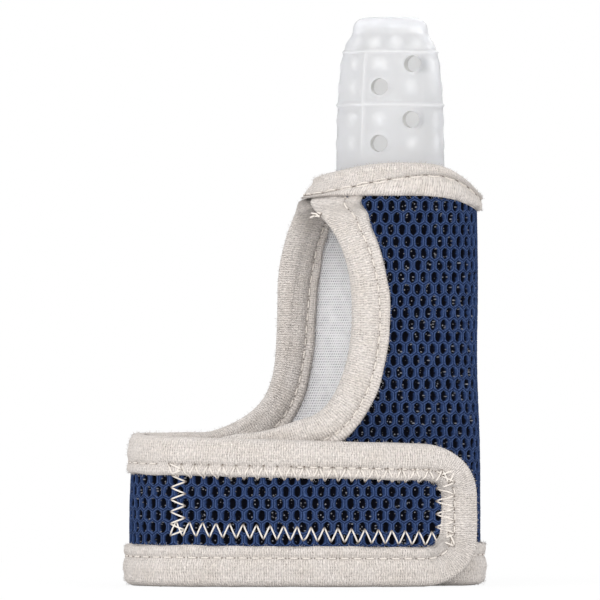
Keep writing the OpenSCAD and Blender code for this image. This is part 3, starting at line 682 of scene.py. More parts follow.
def edge_rows(count):
    """Ends of the sleeve's rows as [share of the way round from the right fold, z].

    The front and the back edge climb in step, and both are cut slantwise under the tape at the band's top.
    """
    kept = (FRONT_LINE[:, 1] < STRAP_TOP_Z - BAND_CUT) | (FRONT_LINE[:, 1] > OPEN_LOW_Z - CUT_CLEAR)
    front = np.concatenate([[[TAIL_X, HEM_Z]], FRONT_LINE[kept & (FRONT_LINE[:, 1] < TUCK_Z)]])
    front = pair(-angle_at(front[:, 0], front[:, 1]), front[:, 1])
    band_z = np.linspace(HEM_Z, STRAP_TOP_Z - BAND_CUT, BAND_ROWS)
    back_edge = BACK_LINE[(BACK_LINE[:, 1] > STRAP_TOP_Z + CUT_CLEAR) & (BACK_LINE[:, 1] < TUCK_Z)]
    back = pair(angle_at(back_edge[:, 0], back_edge[:, 1]), back_edge[:, 1])
    back = np.concatenate([pair(np.full(BAND_ROWS, FOLD_ANGLE), band_z), back])
    front, back = (resample_rows(rows, count) for rows in (front, back))
    top = int(count * COLLAR_SHARE)
    collar = pair(np.full(top, SEAM_SHARE), np.linspace(TUCK_Z, RIM_Z, top))
    return np.concatenate([front, collar * [-1, 1]]), np.concatenate([back, collar])


def resample_rows(rows, count):
    """Rows spaced by height and a little by the way round, so that both edges climb in step."""
    share = sleeve_run(rows[:, 0], rows[:, 1]) / sleeve_run(180.0, rows[:, 1])
    rows = pair(share, rows[:, 1])
    step = np.abs(np.diff(rows[:, 1])) + SHARE_WEIGHT * np.abs(np.diff(rows[:, 0]))
    run = np.concatenate([[0], np.cumsum(step)])
    return read_line(rows, run, np.linspace(0, run[-1], count - int(count * COLLAR_SHARE)))


def sleeve_sheet(count, low, high, columns):
    """Signed angle and z over part of the sleeve, in even steps from the front edge to the back."""
    front, back = edge_rows(count)
    t = np.linspace(low, high, columns)[None, :, None]
    both = lerp(front[:, None], back[:, None], t)
    return read_table(TABLE_BACK, both[..., 1], both[..., 0]), both[..., 1]


def relief(u, v):
    """Height of the mesh: holes sunk into the net, a raised yarn round each cell and a seam between cells."""
    d, hole = cell_distance(u, v)
    sunk, yarn, seam = ease((1.08 - hole) / 0.4), bell((d - 0.84) / 0.08), ease((d - 0.9) / 0.1)
    return -HOLE_DEPTH * sunk + YARN_LIFT * yarn - SEAM_DEPTH * seam


def skirted(name, outer, back, uv, finish, facing):
    """An open sheet whose border turns in to its back, where the lining covers it."""
    rows, cols = outer.shape[:2]
    r, c = quads_of(rows, cols)
    face = r * cols + c
    border = np.concatenate([
        np.arange(cols), np.arange(1, rows) * cols + cols - 1,
        (rows - 1) * cols + np.arange(cols - 2, -1, -1), np.arange(rows - 2, 0, -1) * cols,
    ])
    flat, flat_uv = outer.reshape(-1, 3), uv.reshape(-1, 2)
    count, n = rows * cols, len(border)
    nxt = np.roll(np.arange(n), -1)
    strip = np.stack([border, border[nxt], count + nxt, count + np.arange(n)], -1)
    strip_uv = flat_uv[np.stack([border, border[nxt], border[nxt], border], -1)]
    points = np.concatenate([flat, back.reshape(-1, 3)[border]])
    quads = np.concatenate([face[:, ::-1], strip])
    corner_uv = np.concatenate([flat_uv[face[:, ::-1]], strip_uv])
    a, b, c = (points[quads[len(face) // 2, k]] for k in range(3))
    if np.dot(np.cross(b - a, c - a), facing[rows // 2, cols // 2]) < 0:
        quads, corner_uv = quads[:, ::-1], corner_uv[:, ::-1]
    return make_piece(name, points, quads, corner_uv, finish)


def sleeve_mesh(name, low, high, columns):
    angle, z = sleeve_sheet(335, low, high, columns)
    base = on_sleeve(angle, z, 0)
    uv = pair(sleeve_run(angle, z), base[..., 2])
    outer = on_sleeve(angle, z, relief(uv[..., 0], uv[..., 1]))
    return skirted(name, outer, on_sleeve(angle, z, -SKIRT), uv, MESH, on_sleeve(angle, z, 1) - base)


mesh_front = sleeve_mesh("sleeve_mesh_front", 0, 0.5, 285)
mesh_back = sleeve_mesh("sleeve_mesh_back", 0.5, 1, 290)
for piece in (mesh_front, mesh_back):
    stand_in(piece, "sleeve_shell", "sleeve_shell_upper")

angle, z = sleeve_sheet(150, 0, 1, 220)
outer, inner = on_sleeve(angle, z, -MESH_T - PLY_GAP), on_sleeve(angle, z, -SHEET_T)
uv = pair(sleeve_run(angle, z), z)
lining = slab_piece("sleeve_lining_cloth", outer, inner, uv, LINING)
stand_in(lining, "sleeve_lining")


# Knitted tape
LEG_POINTS, NOSE_POINTS = 34, 22
# Swell inside the stitches and outside them, the stitched furrow, and the rounding of the tape's border
PUFF, OUTER_PUFF = 0.3, 0.12
GROOVE, GROOVE_W = 0.38, 0.5
BORDER_ROUND = 0.8
# How much a tape's width and thickness vary along its run
WIDTH_PLAY, THICKNESS_PLAY = 0.03, 0.035


def tape_section():
    """The folded tape as [inward, out] pairs, its outside and its inside.

    Two legs with a stitched furrow and a swell on each side of it are joined by a half ellipse over the edge.
    """
    s = LEG_W * (1 - np.linspace(0, 1, LEG_POINTS) ** 1.15)
    edge = np.sqrt(np.clip(1 - (1 - np.clip((LEG_W - s) / BORDER_ROUND, 0, 1)) ** 2, 0, 1))
    swell = PUFF * np.sin(np.pi * np.clip(s / STITCH_IN, 0, 1)) ** 2
    past = np.clip((s - STITCH_IN) / (LEG_W - STITCH_IN), 0, 1)
    swell = swell + OUTER_PUFF * np.sin(np.pi * past) ** 2
    out = SLOT_HALF + (TAPE_T + swell - GROOVE * bell((s - STITCH_IN) / GROOVE_W)) * edge
    turn = np.radians(np.linspace(90, -90, NOSE_POINTS + 2))[1:-1]
    leg, slot = pair(s, out), pair(s, np.full(len(s), SLOT_HALF))
    nose = pair(-ROLL * np.cos(turn), out[-1] * np.sin(turn))
    hollow = pair(-SLOT_GAP * np.cos(turn), SLOT_HALF * np.sin(turn))
    mirror = np.array([1, -1])
    outside, inside = [leg, nose, leg[::-1] * mirror], [slot, hollow, slot[::-1] * mirror]
    return np.concatenate(outside), np.concatenate(inside)


OUTSIDE, INSIDE = tape_section()
CONTOUR = run_of(OUTSIDE)

# Heights over which the opening's tapes turn level, spread or narrow, and are pressed under the collar
LEVEL_SPAN = 7.0
SPREAD, SPREAD_Z, SPREAD_SPAN = 0.5, 76.0, 10.0
TAPER, TAPER_Z, TAPER_SPAN = 0.22, 68.0, 14.0
PRESS, PRESS_Z, PRESS_SPAN = 0.4, COLLAR_LOW_Z - 1.5, 1.4


def edge_inward(line, width=16):
    """Unit direction into the sheet, square to the edge, level at the collar and evened out round corners."""
    along = unit(np.gradient(line, axis=0))
    level = ease((line[:, 1] - TAPE_END_Z + LEVEL_SPAN) / LEVEL_SPAN)[:, None]
    inward = unit(lerp(pair(along[:, 1], -along[:, 0]), np.array([1.0, 0.0]), level))
    return unit(smoothed(inward, width))


def uneven(section, run, seed):
    """The section at each station, its width and thickness varied a little along the run."""
    wide = 1 + WIDTH_PLAY * waves(run, [9, 17, 31], seed)
    thick = 1 + THICKNESS_PLAY * waves(run, [6, 11, 23], seed + 50)
    return section[None, :, 0] * wide[:, None], section[None, :, 1] * thick[:, None]


def tape_piece(name, place, run, seed, ring=False):
    """place puts [inward, out] of each station on the cloth; the UV runs along the tape and over its fold."""
    outer = place(*uneven(OUTSIDE, run, seed))
    inner = place(*np.broadcast_arrays(INSIDE[None, :, 0] + 0 * run[:, None], INSIDE[None, :, 1]))
    along = np.append(run, 2 * run[-1] - run[-2]) if ring else run
    uv = np.stack(np.broadcast_arrays(along[:, None], CONTOUR[None, :]), -1)
    return slab_piece(name, outer, inner, uv, BINDING, ring)


def line_place(line, side):
    """Places on the sleeve along an edge, in front (-1) or behind (1).

    Near the collar the front tape spreads, the back one narrows, and both are pressed flat under the collar.
    """
    inward = edge_inward(line)
    if side < 0:
        wide = 1 + SPREAD * ease((line[:, 1:] - SPREAD_Z) / SPREAD_SPAN)
    else:
        wide = 1 - TAPER * ease((line[:, 1:] - TAPER_Z) / TAPER_SPAN)

    def place(s, out):
        s = np.where(s > 0, s * wide, s)
        x, z = line[:, :1] + inward[:, :1] * s, line[:, 1:] + inward[:, 1:] * s
        pressed = 1 - PRESS * ease((z - PRESS_Z) / PRESS_SPAN)
        return on_sleeve(side * angle_at(x, z), z, out * pressed - FLAT_HALF)
    return place


def line_run(line, side):
    return run_of(on_sleeve(side * angle_at(line[:, 0], line[:, 1]), line[:, 1], 0))


def even_angles(low, high, z, count):
    """Angles at equal steps of length round the loop at one height."""
    fine = np.linspace(low, high, 1600)
    run = run_of(on_sleeve(fine, z, 0)[:, :2])
    return np.interp(np.linspace(0, run[-1], count), run, fine)


COLLAR_ANGLES = even_angles(-180, 180, RIM_Z, 331)[:-1]
SEWN_LOW, SEWN_RISE, SEWN_TOP_ANGLE = 0.8, 4.2, -60.0
SEWN_BEFORE, SEWN_AFTER = 100, 240


def collar_place(s, out):
    """Places on the collar; its stitches climb from the seam to the right of the front, and fall behind."""
    a = COLLAR_ANGLES[:, None]
    past = a - SEWN_TOP_ANGLE
    sewn = SEWN_LOW + SEWN_RISE * np.where(past < 0, ease(-past / SEWN_BEFORE), ease(past / SEWN_AFTER))
    share = np.clip((s - STITCH_IN) / (LEG_W - STITCH_IN), 0, 1)
    below = share * (np.maximum(COLLAR_LEG, sewn + SEWN_LOW) - sewn)
    s = np.where(s < 0, s, np.minimum(s, STITCH_IN) * sewn / STITCH_IN + below)
    return on_sleeve(a, RIM_Z - s, out - FLAT_HALF)


HEM_SPREAD, HEM_SPREAD_ANGLE, HEM_SPREAD_SPAN = 0.2, 50, 30
HEM_ANGLES = even_angles(-angle_at(TAIL_X, HEM_Z), FOLD_ANGLE, HEM_Z, 440)


def hem_place(s, out):
    """Places on the hem, whose tape is a little wider at the right fold."""
    a = HEM_ANGLES[:, None]
    wide = 1 + HEM_SPREAD * ease((HEM_SPREAD_ANGLE - np.abs(a)) / HEM_SPREAD_SPAN)
    return on_sleeve(a, HEM_Z + np.where(s > 0, s * wide, s), out - FLAT_HALF)


def strap_edge():
    """The strap's edge as [along, z, inward along, inward z]: out along the hem, round the tip and back."""
    tip, r = STRAP_LEN - ROLL, STRAP_END_R - ROLL
    a = np.radians(np.linspace(0, 90, 60))
    straight = np.linspace(-FOLD_RUN, tip - r, 200)
    low = pair(straight, np.full_like(straight, HEM_Z))
    turn = pair(tip - r + r * np.sin(a), HEM_Z + r * (1 - np.cos(a)))
    flip = np.array([1, -1])
    shift = np.array([0, HEM_Z + STRAP_TOP_Z])
    line = np.concatenate([low, turn[1:], (turn * flip + shift)[::-1], (low * flip + shift)[::-1][1:]])
    line = smoothed(resample(line, 540), 3)
    along = unit(np.gradient(line, axis=0))
    return line, unit(smoothed(pair(-along[:, 1], along[:, 0]), 3))


STRAP_EDGE, STRAP_INWARD = strap_edge()
# The strap's tape is a little wider past the fold, and more so along its lower edge
WIDE_UPPER, WIDE_LOWER, WIDE_SPAN, WIDE_FROM_FOLD = 0.06, 0.11, 10, 14
STRAP_WIDE = WIDE_UPPER + WIDE_LOWER * ease((BAND_H / 2 - STRAP_EDGE[:, 1:]) / WIDE_SPAN)
STRAP_WIDE = 1 + STRAP_WIDE * ease((STRAP_EDGE[:, :1] + FOLD_RUN) / WIDE_FROM_FOLD)
# How it is pressed at the top of the fold, all over and towards its edge
FOLD_PRESS, FOLD_ROUND, FOLD_ROUND_W = 0.12, 0.28, 4
FOLD_PRESS_AT, FOLD_PRESS_SPAN = 1, 4.5


def strap_place(s, out):
    """Places on the strap; the tape is pressed a little where it turns round the top of the fold."""
    s = np.where(s > 0, s * STRAP_WIDE, s)
    along, z = STRAP_EDGE[:, :1], STRAP_EDGE[:, 1:]
    at_fold = bell((along - FOLD_PRESS_AT) / FOLD_PRESS_SPAN) * (z > BAND_H / 2)
    round_off = FOLD_PRESS + FOLD_ROUND * (1 - np.clip(s / FOLD_ROUND_W, 0, 1)) ** 1.5
    out = out * (1 - round_off * at_fold * (np.abs(out) > SLOT_HALF + 0.01))
    return on_strap(along + STRAP_INWARD[:, :1] * s, z + STRAP_INWARD[:, 1:] * s, out - FLAT_HALF)


# Fibres to a millimetre of tape; the share of them in the border rows, and on the fold beside those
NAP_PER_MM, NAP_BORDER, NAP_BORDER_ROWS, NAP_FOLD = 14, 0.45, 4, 0.25
NAP_SHORT, NAP_LONG = 0.25, 0.75


def nap_piece(name, place, run, seed):
    """Short bent fibres of the brushed tape, most of them along its two borders and its fold."""
    rng = np.random.default_rng(SEED + seed)
    grid = place(*uneven(OUTSIDE, run, seed))
    normal = unit(np.cross(np.gradient(grid, axis=0), np.gradient(grid, axis=1)))
    grown = place(OUTSIDE[None, :, 0], OUTSIDE[None, :, 1] * 1.4)
    normal = normal * np.sign((normal * (grown - grid)).sum(-1).mean())
    count, across = int(run[-1] * NAP_PER_MM), len(OUTSIDE)
    border = rng.integers(0, NAP_BORDER_ROWS, count)
    border = np.where(rng.random(count) < 0.5, border, across - 1 - border)
    where = rng.random(count)
    nose = rng.integers(LEG_POINTS, LEG_POINTS + NOSE_POINTS, count)
    rest = rng.integers(NAP_BORDER_ROWS, across - NAP_BORDER_ROWS, count)
    j = np.where(where < NAP_BORDER, border, np.where(where < NAP_BORDER + NAP_FOLD, nose, rest))
    i = rng.integers(2, len(run) - 2, count)
    root, up = grid[i, j], normal[i, j]
    sway = rng.normal(0, 1, (count, 2, 3))
    reach = rng.uniform(NAP_SHORT, NAP_LONG, count)[:, None]
    bend = root + reach * 0.5 * unit(up + 0.4 * sway[:, 0])
    tip = bend + reach * 0.5 * unit(0.5 * up + 0.7 * sway[:, 1])
    centres = np.stack([root - 0.08 * up, root + 0.02 * up, bend, tip], 1)
    centres[..., 2] = np.maximum(centres[..., 2], 0)
    ups = np.broadcast_to(unit(sway[:, :1] + 0.3), centres.shape)
    return tube_piece(name, centres, ups, NAP_R, BINDING, 4)


# Every taped edge: the words of its pieces' names, its places and its run
EDGES = [
    ("collar_{}", collar_place, run_of(on_sleeve(COLLAR_ANGLES, RIM_Z, 0))),
    ("opening_{}_front", line_place(FRONT_LINE, -1), line_run(FRONT_LINE, -1)),
    ("opening_{}_back", line_place(BACK_LINE, 1), line_run(BACK_LINE, 1)),
    ("hem_{}", hem_place, run_of(on_sleeve(HEM_ANGLES, HEM_Z, 0))),
    ("strap_{}", strap_place, run_of(on_strap(STRAP_EDGE[:, 0], STRAP_EDGE[:, 1], 0))),
]
for seed, (words, place, run) in enumerate(EDGES, 1):
    tape = tape_piece(words.format("tape"), place, run, seed, words == "collar_{}")
    stand_in(tape, words.format("binding"), body=None if words == "strap_{}" else "sleeve")
for seed, (words, place, run) in enumerate(EDGES, 1):
    nap = nap_piece(words.format("nap"), place, run, seed)
    stand_in(nap, words.format("binding"), body=None if words == "strap_{}" else "sleeve")
strap_tape, strap_nap = tape, nap


# Strap cloth
def tip_drop(along):
    """How much the rounded tip takes off the strap's edge at a length."""
    tip, r = STRAP_LEN - ROLL, STRAP_END_R - ROLL
    past = np.clip(along - (tip - r), 0, r)
    return r - np.sqrt(np.maximum(0, r * r - past * past))


def strap_sheet(columns, rows):
    along = np.linspace(-FOLD_RUN, STRAP_LEN - ROLL, columns)[:, None]
    t = np.linspace(0, 1, rows)[None, :]
    drop = tip_drop(along)
    return np.broadcast_arrays(along, lerp(HEM_Z + drop, STRAP_TOP_Z - drop, t))


along, z = strap_sheet(345, 120)
base = on_strap(along, z, 0)
cell_run = along + FOLD_RUN + sleeve_run(FOLD_ANGLE, BAND_H / 2)
outer, facing = on_strap(along, z, relief(cell_run, base[..., 2])), on_strap(along, z, 1) - base
strap_uv = pair(cell_run, base[..., 2])
strap_mesh = skirted("strap_mesh", outer, on_strap(along, z, -SKIRT), strap_uv, MESH, facing)
stand_in(strap_mesh, "strap_shell", body=None)
along, z = strap_sheet(220, 60)
outer, inner = on_strap(along, z, -MESH_T - PLY_GAP), on_strap(along, z, -SHEET_T)
strap_lining = slab_piece("strap_lining_cloth", outer, inner, pair(along, z), LINING)
stand_in(strap_lining, "strap_lining", body=None)


# Threads
def stitch_centres(path, up, pitch=STITCH_PITCH, share=0.8, rings=11, high=0.12, deep=0.14):
    """Centre lines of a row of stitches on a path: each arches out of the cloth and dives in at its ends."""
    run = run_of(path)
    count = int(run[-1] / pitch)
    t = np.linspace(0, 1, rings)
    at = (np.arange(count)[:, None] + (1 - share) / 2 + share * t) * run[-1] / count
    normal = unit(read_line(up, run, at))
    lift = -deep + (high + deep) * np.sin(np.pi * t) ** 0.6
    return read_line(path, run, at) + normal * lift[:, None], normal


def surface_path(place, s, out):
    """A line on the cloth at one inward distance, with the direction out of the cloth."""
    path = place(np.array([[s]]), np.array([[out]]))[:, 0]
    return path, unit(place(np.array([[s]]), np.array([[out + 0.5]]))[:, 0] - path)


FURROW = SLOT_HALF + TAPE_T - 0.3


def under_side(place, pitch=STITCH_PITCH):
    path, up = surface_path(place, STITCH_IN, -FURROW)
    return stitch_centres(path, -up, pitch)


def thread_piece(name, node, rows, body="sleeve", radius=FINE_R):
    """One piece from rows of stitches, each row with its centre lines and the directions out of the cloth."""
    centres, ups = (np.concatenate([row[k] for row in rows]) for k in range(2))
    piece = tube_piece(name, centres, ups, radius, THREAD)
    stand_in(piece, node, body=body)
    return piece


def thread_on(words, place, body="sleeve", shown=(slice(None),)):
    """A sewn line on both faces of a tape; shown picks the stretches of the outer face that it shows on."""
    path, up = surface_path(place, STITCH_IN, FURROW)
    rows = [stitch_centres(path[part], up[part]) for part in shown] + [under_side(place)]
    return thread_piece(words.format("stitches"), words.format("thread"), rows, body)


CHAIN_BOW, CHAIN_FLOOR, CHAIN_ARCH, CHAIN_CROSS = 0.36, -0.2, 0.34, 0.06


def lines_on(cloth, across, z, out):
    """Lines on the sleeve or the strap, with the directions out of it."""
    centres = cloth(across, z, out)
    return centres, unit(cloth(across, z, out + 0.5) - centres)


def chain_centres(path, up, pitch, rings=11):
    """Centre lines of a chain: two strands to each stitch, bowed apart between its needle holes."""
    run = run_of(path)
    count = int(run[-1] / pitch)
    t = np.linspace(0, 1, rings)
    at = (np.arange(count)[:, None] + t) * run[-1] / count
    middle, normal = read_line(path, run, at), read_line(up, run, at)
    side = unit(np.cross(np.gradient(middle, axis=1), normal))
    bow = CHAIN_BOW * np.sin(np.pi * t)[:, None]
    lift = (CHAIN_FLOOR + CHAIN_ARCH * np.sin(np.pi * t) ** 0.5)[:, None]
    cross = CHAIN_CROSS * np.cos(np.pi * t)[:, None]
    strands = [middle + side * bow * way + normal * (lift + way * cross) for way in (-1, 1)]
    return np.concatenate(strands), np.concatenate([normal, normal])


collar_path, collar_up = surface_path(collar_place, STITCH_IN, FURROW)
thread_piece("collar_stitches", "collar_thread",
             [chain_centres(collar_path, collar_up, CHAIN_PITCH), under_side(collar_place, CHAIN_PITCH)])
for words, place, _ in EDGES[1:4]:
    thread_on(words, place)
# The strap's own stitches leave off where the zigzag runs on its tape
BARE_FROM, BARE_TO = 48, 19.0
zig_start = int(np.argmax((STRAP_EDGE[:, 0] < BARE_FROM) & (STRAP_EDGE[:, 1] > BAND_H / 2)))
zig_end = len(STRAP_EDGE) - int(np.argmax(STRAP_EDGE[::-1, 0] > BARE_TO))
strap_stitches = thread_on("strap_{}", strap_place, None, (slice(0, zig_start), slice(zig_end, None)))


# Zigzag round the hook tape: its corners as (along, z), the slope of its lower row, its pitch and width
ZIG_LEFT, ZIG_RIGHT, ZIG_LOW, ZIG_HIGH = 21.5, STRAP_LEN - 6.3, 11.4, BAND_H - 5.9
ZIG_SLOPE, ZIG_PITCH, ZIG_W = 1.9, 2.9, 3.4
ZIG_CORNERS = np.array([
    (ZIG_LEFT, ZIG_LOW), (ZIG_RIGHT, ZIG_LOW - ZIG_SLOPE), (ZIG_RIGHT, ZIG_HIGH), (ZIG_LEFT, ZIG_HIGH),
    (ZIG_LEFT, ZIG_LOW),
])
ZIG_FLOOR, ZIG_ON_TAPE, ZIG_ARCH = -0.08, 1.2, 0.28


def zigzag_points():
    """Needle holes of the zigzag as [along, z]: every other one stands in by the zigzag's width."""
    inward = np.array([[0, 1], [-1, 0], [0, -1], [1, 0]])
    rows = []
    for a, b, way in zip(ZIG_CORNERS[:-1], ZIG_CORNERS[1:], inward):
        count = 2 * round(np.linalg.norm(b - a) / ZIG_PITCH)
        k = np.arange(count)[:, None]
        rows.append(lerp(a, b, k / count) + way * ZIG_W * (k % 2))
    return np.concatenate(rows)


def on_tape(along, z):
    """0 on the strap's bare mesh and 1 on its tape, by the distance from the tape's inner edge."""
    past = np.hypot(np.maximum(0, along - STRAP_LEN + STRAP_END_R),
                    np.maximum(0, np.abs(z - BAND_H / 2) - BAND_H / 2 + STRAP_END_R))
    return ease((past - (STRAP_END_R - TAPE_W) + 0.5) / 0.8)


holes = zigzag_points()
t = np.linspace(0, 1, 11)
legs = lerp(holes[:, None], np.roll(holes, -1, axis=0)[:, None], t[None, :, None])
lift = ZIG_FLOOR + ZIG_ON_TAPE * on_tape(legs[..., 0], legs[..., 1]) + ZIG_ARCH * np.sin(np.pi * t) ** 0.5
rows = [lines_on(on_strap, legs[..., 0], legs[..., 1], lift)]
zigzag = thread_piece("zigzag_stitches", "zigzag_thread", rows, None, ZIG_R)

# Everything sewn to the strap has its placing baked into its mesh
for piece in (strap_tape, strap_nap, strap_mesh, strap_lining, strap_stitches, zigzag):
    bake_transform(piece)


# Hook tape inside the strap, loop tape on the sleeve under it
PATCH_LOW, PATCH_HIGH, PATCH_T, PATCH_LEN = 8.5, 25.1, 1.0, 58.3
PATCH_END, PATCH_R, PATCH_GAP = STRAP_LEN - 8.6, 3.8, 0.2
HOOK_GRID, LOOP_GRID = (190, 52), (200, 76)
HOOK_ROWS, HOOK_PITCH, HOOK_R, HOOK_BASE_T = (54, 14), (1.05, 1.1), 0.13, 0.35
# A hook's rise off the strip and its lean, from its root to its tip
HOOK_RISE = np.array([0.3, 0.6, 0.9, 1.1, 1.12, 0.95])
HOOK_LEAN = np.array([0.0, 0.02, 0.08, 0.24, 0.42, 0.52])


def pillowed(rows, cols):
    """Edge factor of a strip: 1 over its middle, falling off along a quarter circle at its border."""
    a = np.minimum(np.arange(rows), np.arange(rows)[::-1])[:, None] / 2
    b = np.minimum(np.arange(cols), np.arange(cols)[::-1])[None, :] / 2
    return np.sqrt(1 - (1 - np.clip(np.minimum(a, b), 0, 1)) ** 2)


v = np.linspace(0, PATCH_LEN, HOOK_GRID[0])[:, None]
t = np.linspace(0, 1, HOOK_GRID[1])[None, :]
past = np.clip(v - PATCH_LEN + PATCH_R, 0, PATCH_R)
drop = PATCH_R - np.sqrt(np.maximum(0, PATCH_R ** 2 - past ** 2))
along = PATCH_END - PATCH_LEN + v + 0 * t
z = lerp(PATCH_LOW + drop, PATCH_HIGH - drop, t)
outer = on_strap(along, z, -SHEET_T - PATCH_GAP - HOOK_BASE_T * pillowed(*HOOK_GRID))
inner = on_strap(along, z, -SHEET_T - PATCH_GAP / 2)
hook_base = slab_piece("hook_tape_strip", outer, inner, pair(along, z), HOOK)
# Each hook rises from the strip and bends over, every other one the other way
i, j = np.meshgrid(np.arange(HOOK_ROWS[0]), np.arange(HOOK_ROWS[1]), indexing="ij")
hook_along = (PATCH_END - PATCH_LEN + 1 + HOOK_PITCH[0] * i + 0.5 * (j % 2)).ravel()
hook_z = (PATCH_LOW + HOOK_PITCH[1] + HOOK_PITCH[1] * j).ravel()
keep = hook_along < PATCH_END - 1.6
hook_along, hook_z = hook_along[keep], hook_z[keep]
turned = np.where(np.arange(len(hook_along)) % 2 == 0, 1, -1)
hook_centres = on_strap(hook_along[:, None] + turned[:, None] * HOOK_LEAN, hook_z[:, None] + 0 * HOOK_LEAN,
                        -SHEET_T - PATCH_GAP - HOOK_RISE[None, :] + 0.02)
hook_ups = np.broadcast_to(np.array([0.0, 0.0, 1.0]), hook_centres.shape)
hooks = tube_piece("hook_tape_hooks", hook_centres, hook_ups, HOOK_R, HOOK)
for piece in (hook_base, hooks):
    stand_in(piece, "hook_patch", body="strap")

PILE_LOW, PILE_ROUGH, PILE_FOOT = 0.15, 0.08, 0.12
LOOP_X = TAIL_X + TAPE_W + 0.3
LOOP_LEN = min(PATCH_LEN, LOOP_W / 2 - LOOP_X - LOOP_D / 4)
x = LOOP_X + LOOP_LEN * np.linspace(0, 1, LOOP_GRID[0])[:, None] + np.zeros(LOOP_GRID)
z = lerp(PATCH_LOW, PATCH_HIGH, np.linspace(0, 1, LOOP_GRID[1])[None, :]) + 0 * x
pile = np.random.default_rng(SEED).normal(0, 1, LOOP_GRID)
pile = (pile + np.roll(pile, 1, 0) + np.roll(pile, 1, 1) + np.roll(pile, -1, 0)) / 2
angle = -angle_at(x, z)
pile_out = PATCH_GAP + (PATCH_T - PILE_LOW + PILE_ROUGH * pile) * pillowed(*LOOP_GRID)
outer, inner = on_sleeve(angle, z, pile_out), on_sleeve(angle, z, PILE_FOOT)
loops = slab_piece("loop_tape_pile", outer, inner, pair(x, z), LOOP)
stand_in(loops, "loop_patch")

SEAM_INSET = 1.1
left, right = LOOP_X + SEAM_INSET, LOOP_X + LOOP_LEN - SEAM_INSET
low, high = PATCH_LOW + SEAM_INSET, PATCH_HIGH - SEAM_INSET
seam = resample(np.array([[left, low], [right, low], [right, high], [left, high], [left, low]]), 400)
angle = -angle_at(seam[:, 0], seam[:, 1])
path = on_sleeve(angle, seam[:, 1], 1.0)
rows = [stitch_centres(path, on_sleeve(angle, seam[:, 1], 2.0) - path)]
thread_piece("loop_tape_stitches", "loop_patch_thread", rows, radius=THREAD_R)

# Tacks where the opening ends: short straight stitches, each as [x, z] of its start and its step
TACKS = np.array([
    [2.0, 81.2, 1.2, 0.5], [3.1, 81.5, 1.1, 0.3], [2.3, 82.3, 1.5, -0.3], [3.6, 82.5, 0.9, -0.4],
    [4.2, 81.3, -0.8, 0.9],
])[:, :, None]
TACK_OUT, TACK_ARCH = 1.15, 0.35
t = np.linspace(0, 1, 9)
tack_x, tack_z = TACKS[:, 0] + TACKS[:, 2] * t, TACKS[:, 1] + TACKS[:, 3] * t
tack_out = TACK_OUT + TACK_ARCH * np.sin(np.pi * t) ** 0.6
rows = [lines_on(on_sleeve, -angle_at(tack_x, tack_z), tack_z, tack_out)]
thread_piece("seam_tacks", "seam_tack", rows, radius=ZIG_R)


# Silicone cap
# Outline outside and inside as [radius, z]
CAP_OUT = np.array([
    [10.0, 82.4], [12.9, 82.4], [13.05, 82.6], [13.05, 83.7], [12.9, 83.9], [12.1, 84.0], [12.0, 84.4],
    [12.0, 93.4], [11.86, 98.0], [11.76, 103.0], [11.66, 106.3], [11.36, 111.0], [10.95, 115.0],
    [10.5, 117.4], [10.35, 118.0], [9.9, 119.4], [9.35, 120.4], [8.8, 121.4], [8.36, 122.2], [8.3, 122.9],
    [8.22, 123.6], [7.95, 124.4], [7.4, 125.1], [6.6, 125.5], [5.6, 125.72], [4.4, 125.8], [2.2, 125.8],
    [0.0, 125.8],
])
CAP_IN = np.array([
    [0.0, 123.8], [4.4, 123.8], [5.7, 123.5], [6.4, 122.6], [6.9, 121.2], [8.3, 118.4], [9.2, 113.0],
    [9.8, 109.0], [10.0, 106.1], [10.0, 100.0], [10.0, 82.5], [10.0, 82.4],
])
CAP_ROWS, CAP_ROWS_IN, TURNS = 300, 68, 240
# Only these rows, between the flange and the crown, climb steadily
WALL_ROWS = slice(60, 230)
# Where the upright ribs start, and over what height they rise
RIB_LOW_Z, RIB_FADE = 94, 2
# Mark outside the cap, by which its finish paints a highlight: the bare wall's, what thickness can add, and
# how much of that ribs and bumps reach
WALL_MARK, THICK_MARK, RIB_MARK, RIB_FULL, BUMP_MARK = 0.25, 0.75, 0.6, 0.3, 0.72
# Ring ribs as [z, lift]; upright ribs by their lift, at the borders of five panels
RINGS, RING_W = ((106.3, 0.4), (118.0, 0.36)), 0.34
RIB_TURN, PANEL, RIB_W = -122.0, 72.0, 0.4
RIB_LIFT = (0.3, 0.05, 0.16, 0.16, 0.16)
# Bumps and air holes: degrees from a panel's border and z, and a crown of bumps above the upper ring
SPOT_TURNS, SPOT_Z = (19.5, 56.5), (97.7, 103.0, 110.2, 115.3)
CROWN_Z, CROWN_COUNT, CROWN_TURN = 120.0, 12, 8.0
BUMP_R, BUMP_LIFT = 2.1, 0.26
HOLE_R, RIM_R, RIM_W, RIM_LIFT = 1.85, 2.15, 0.34, 0.22
# All the holes are drilled one way
HOLE_TURN, DRILL_AT, DRILL_REACH, DRILL_SIDES = -108.0, 11.2, 6.0, 48


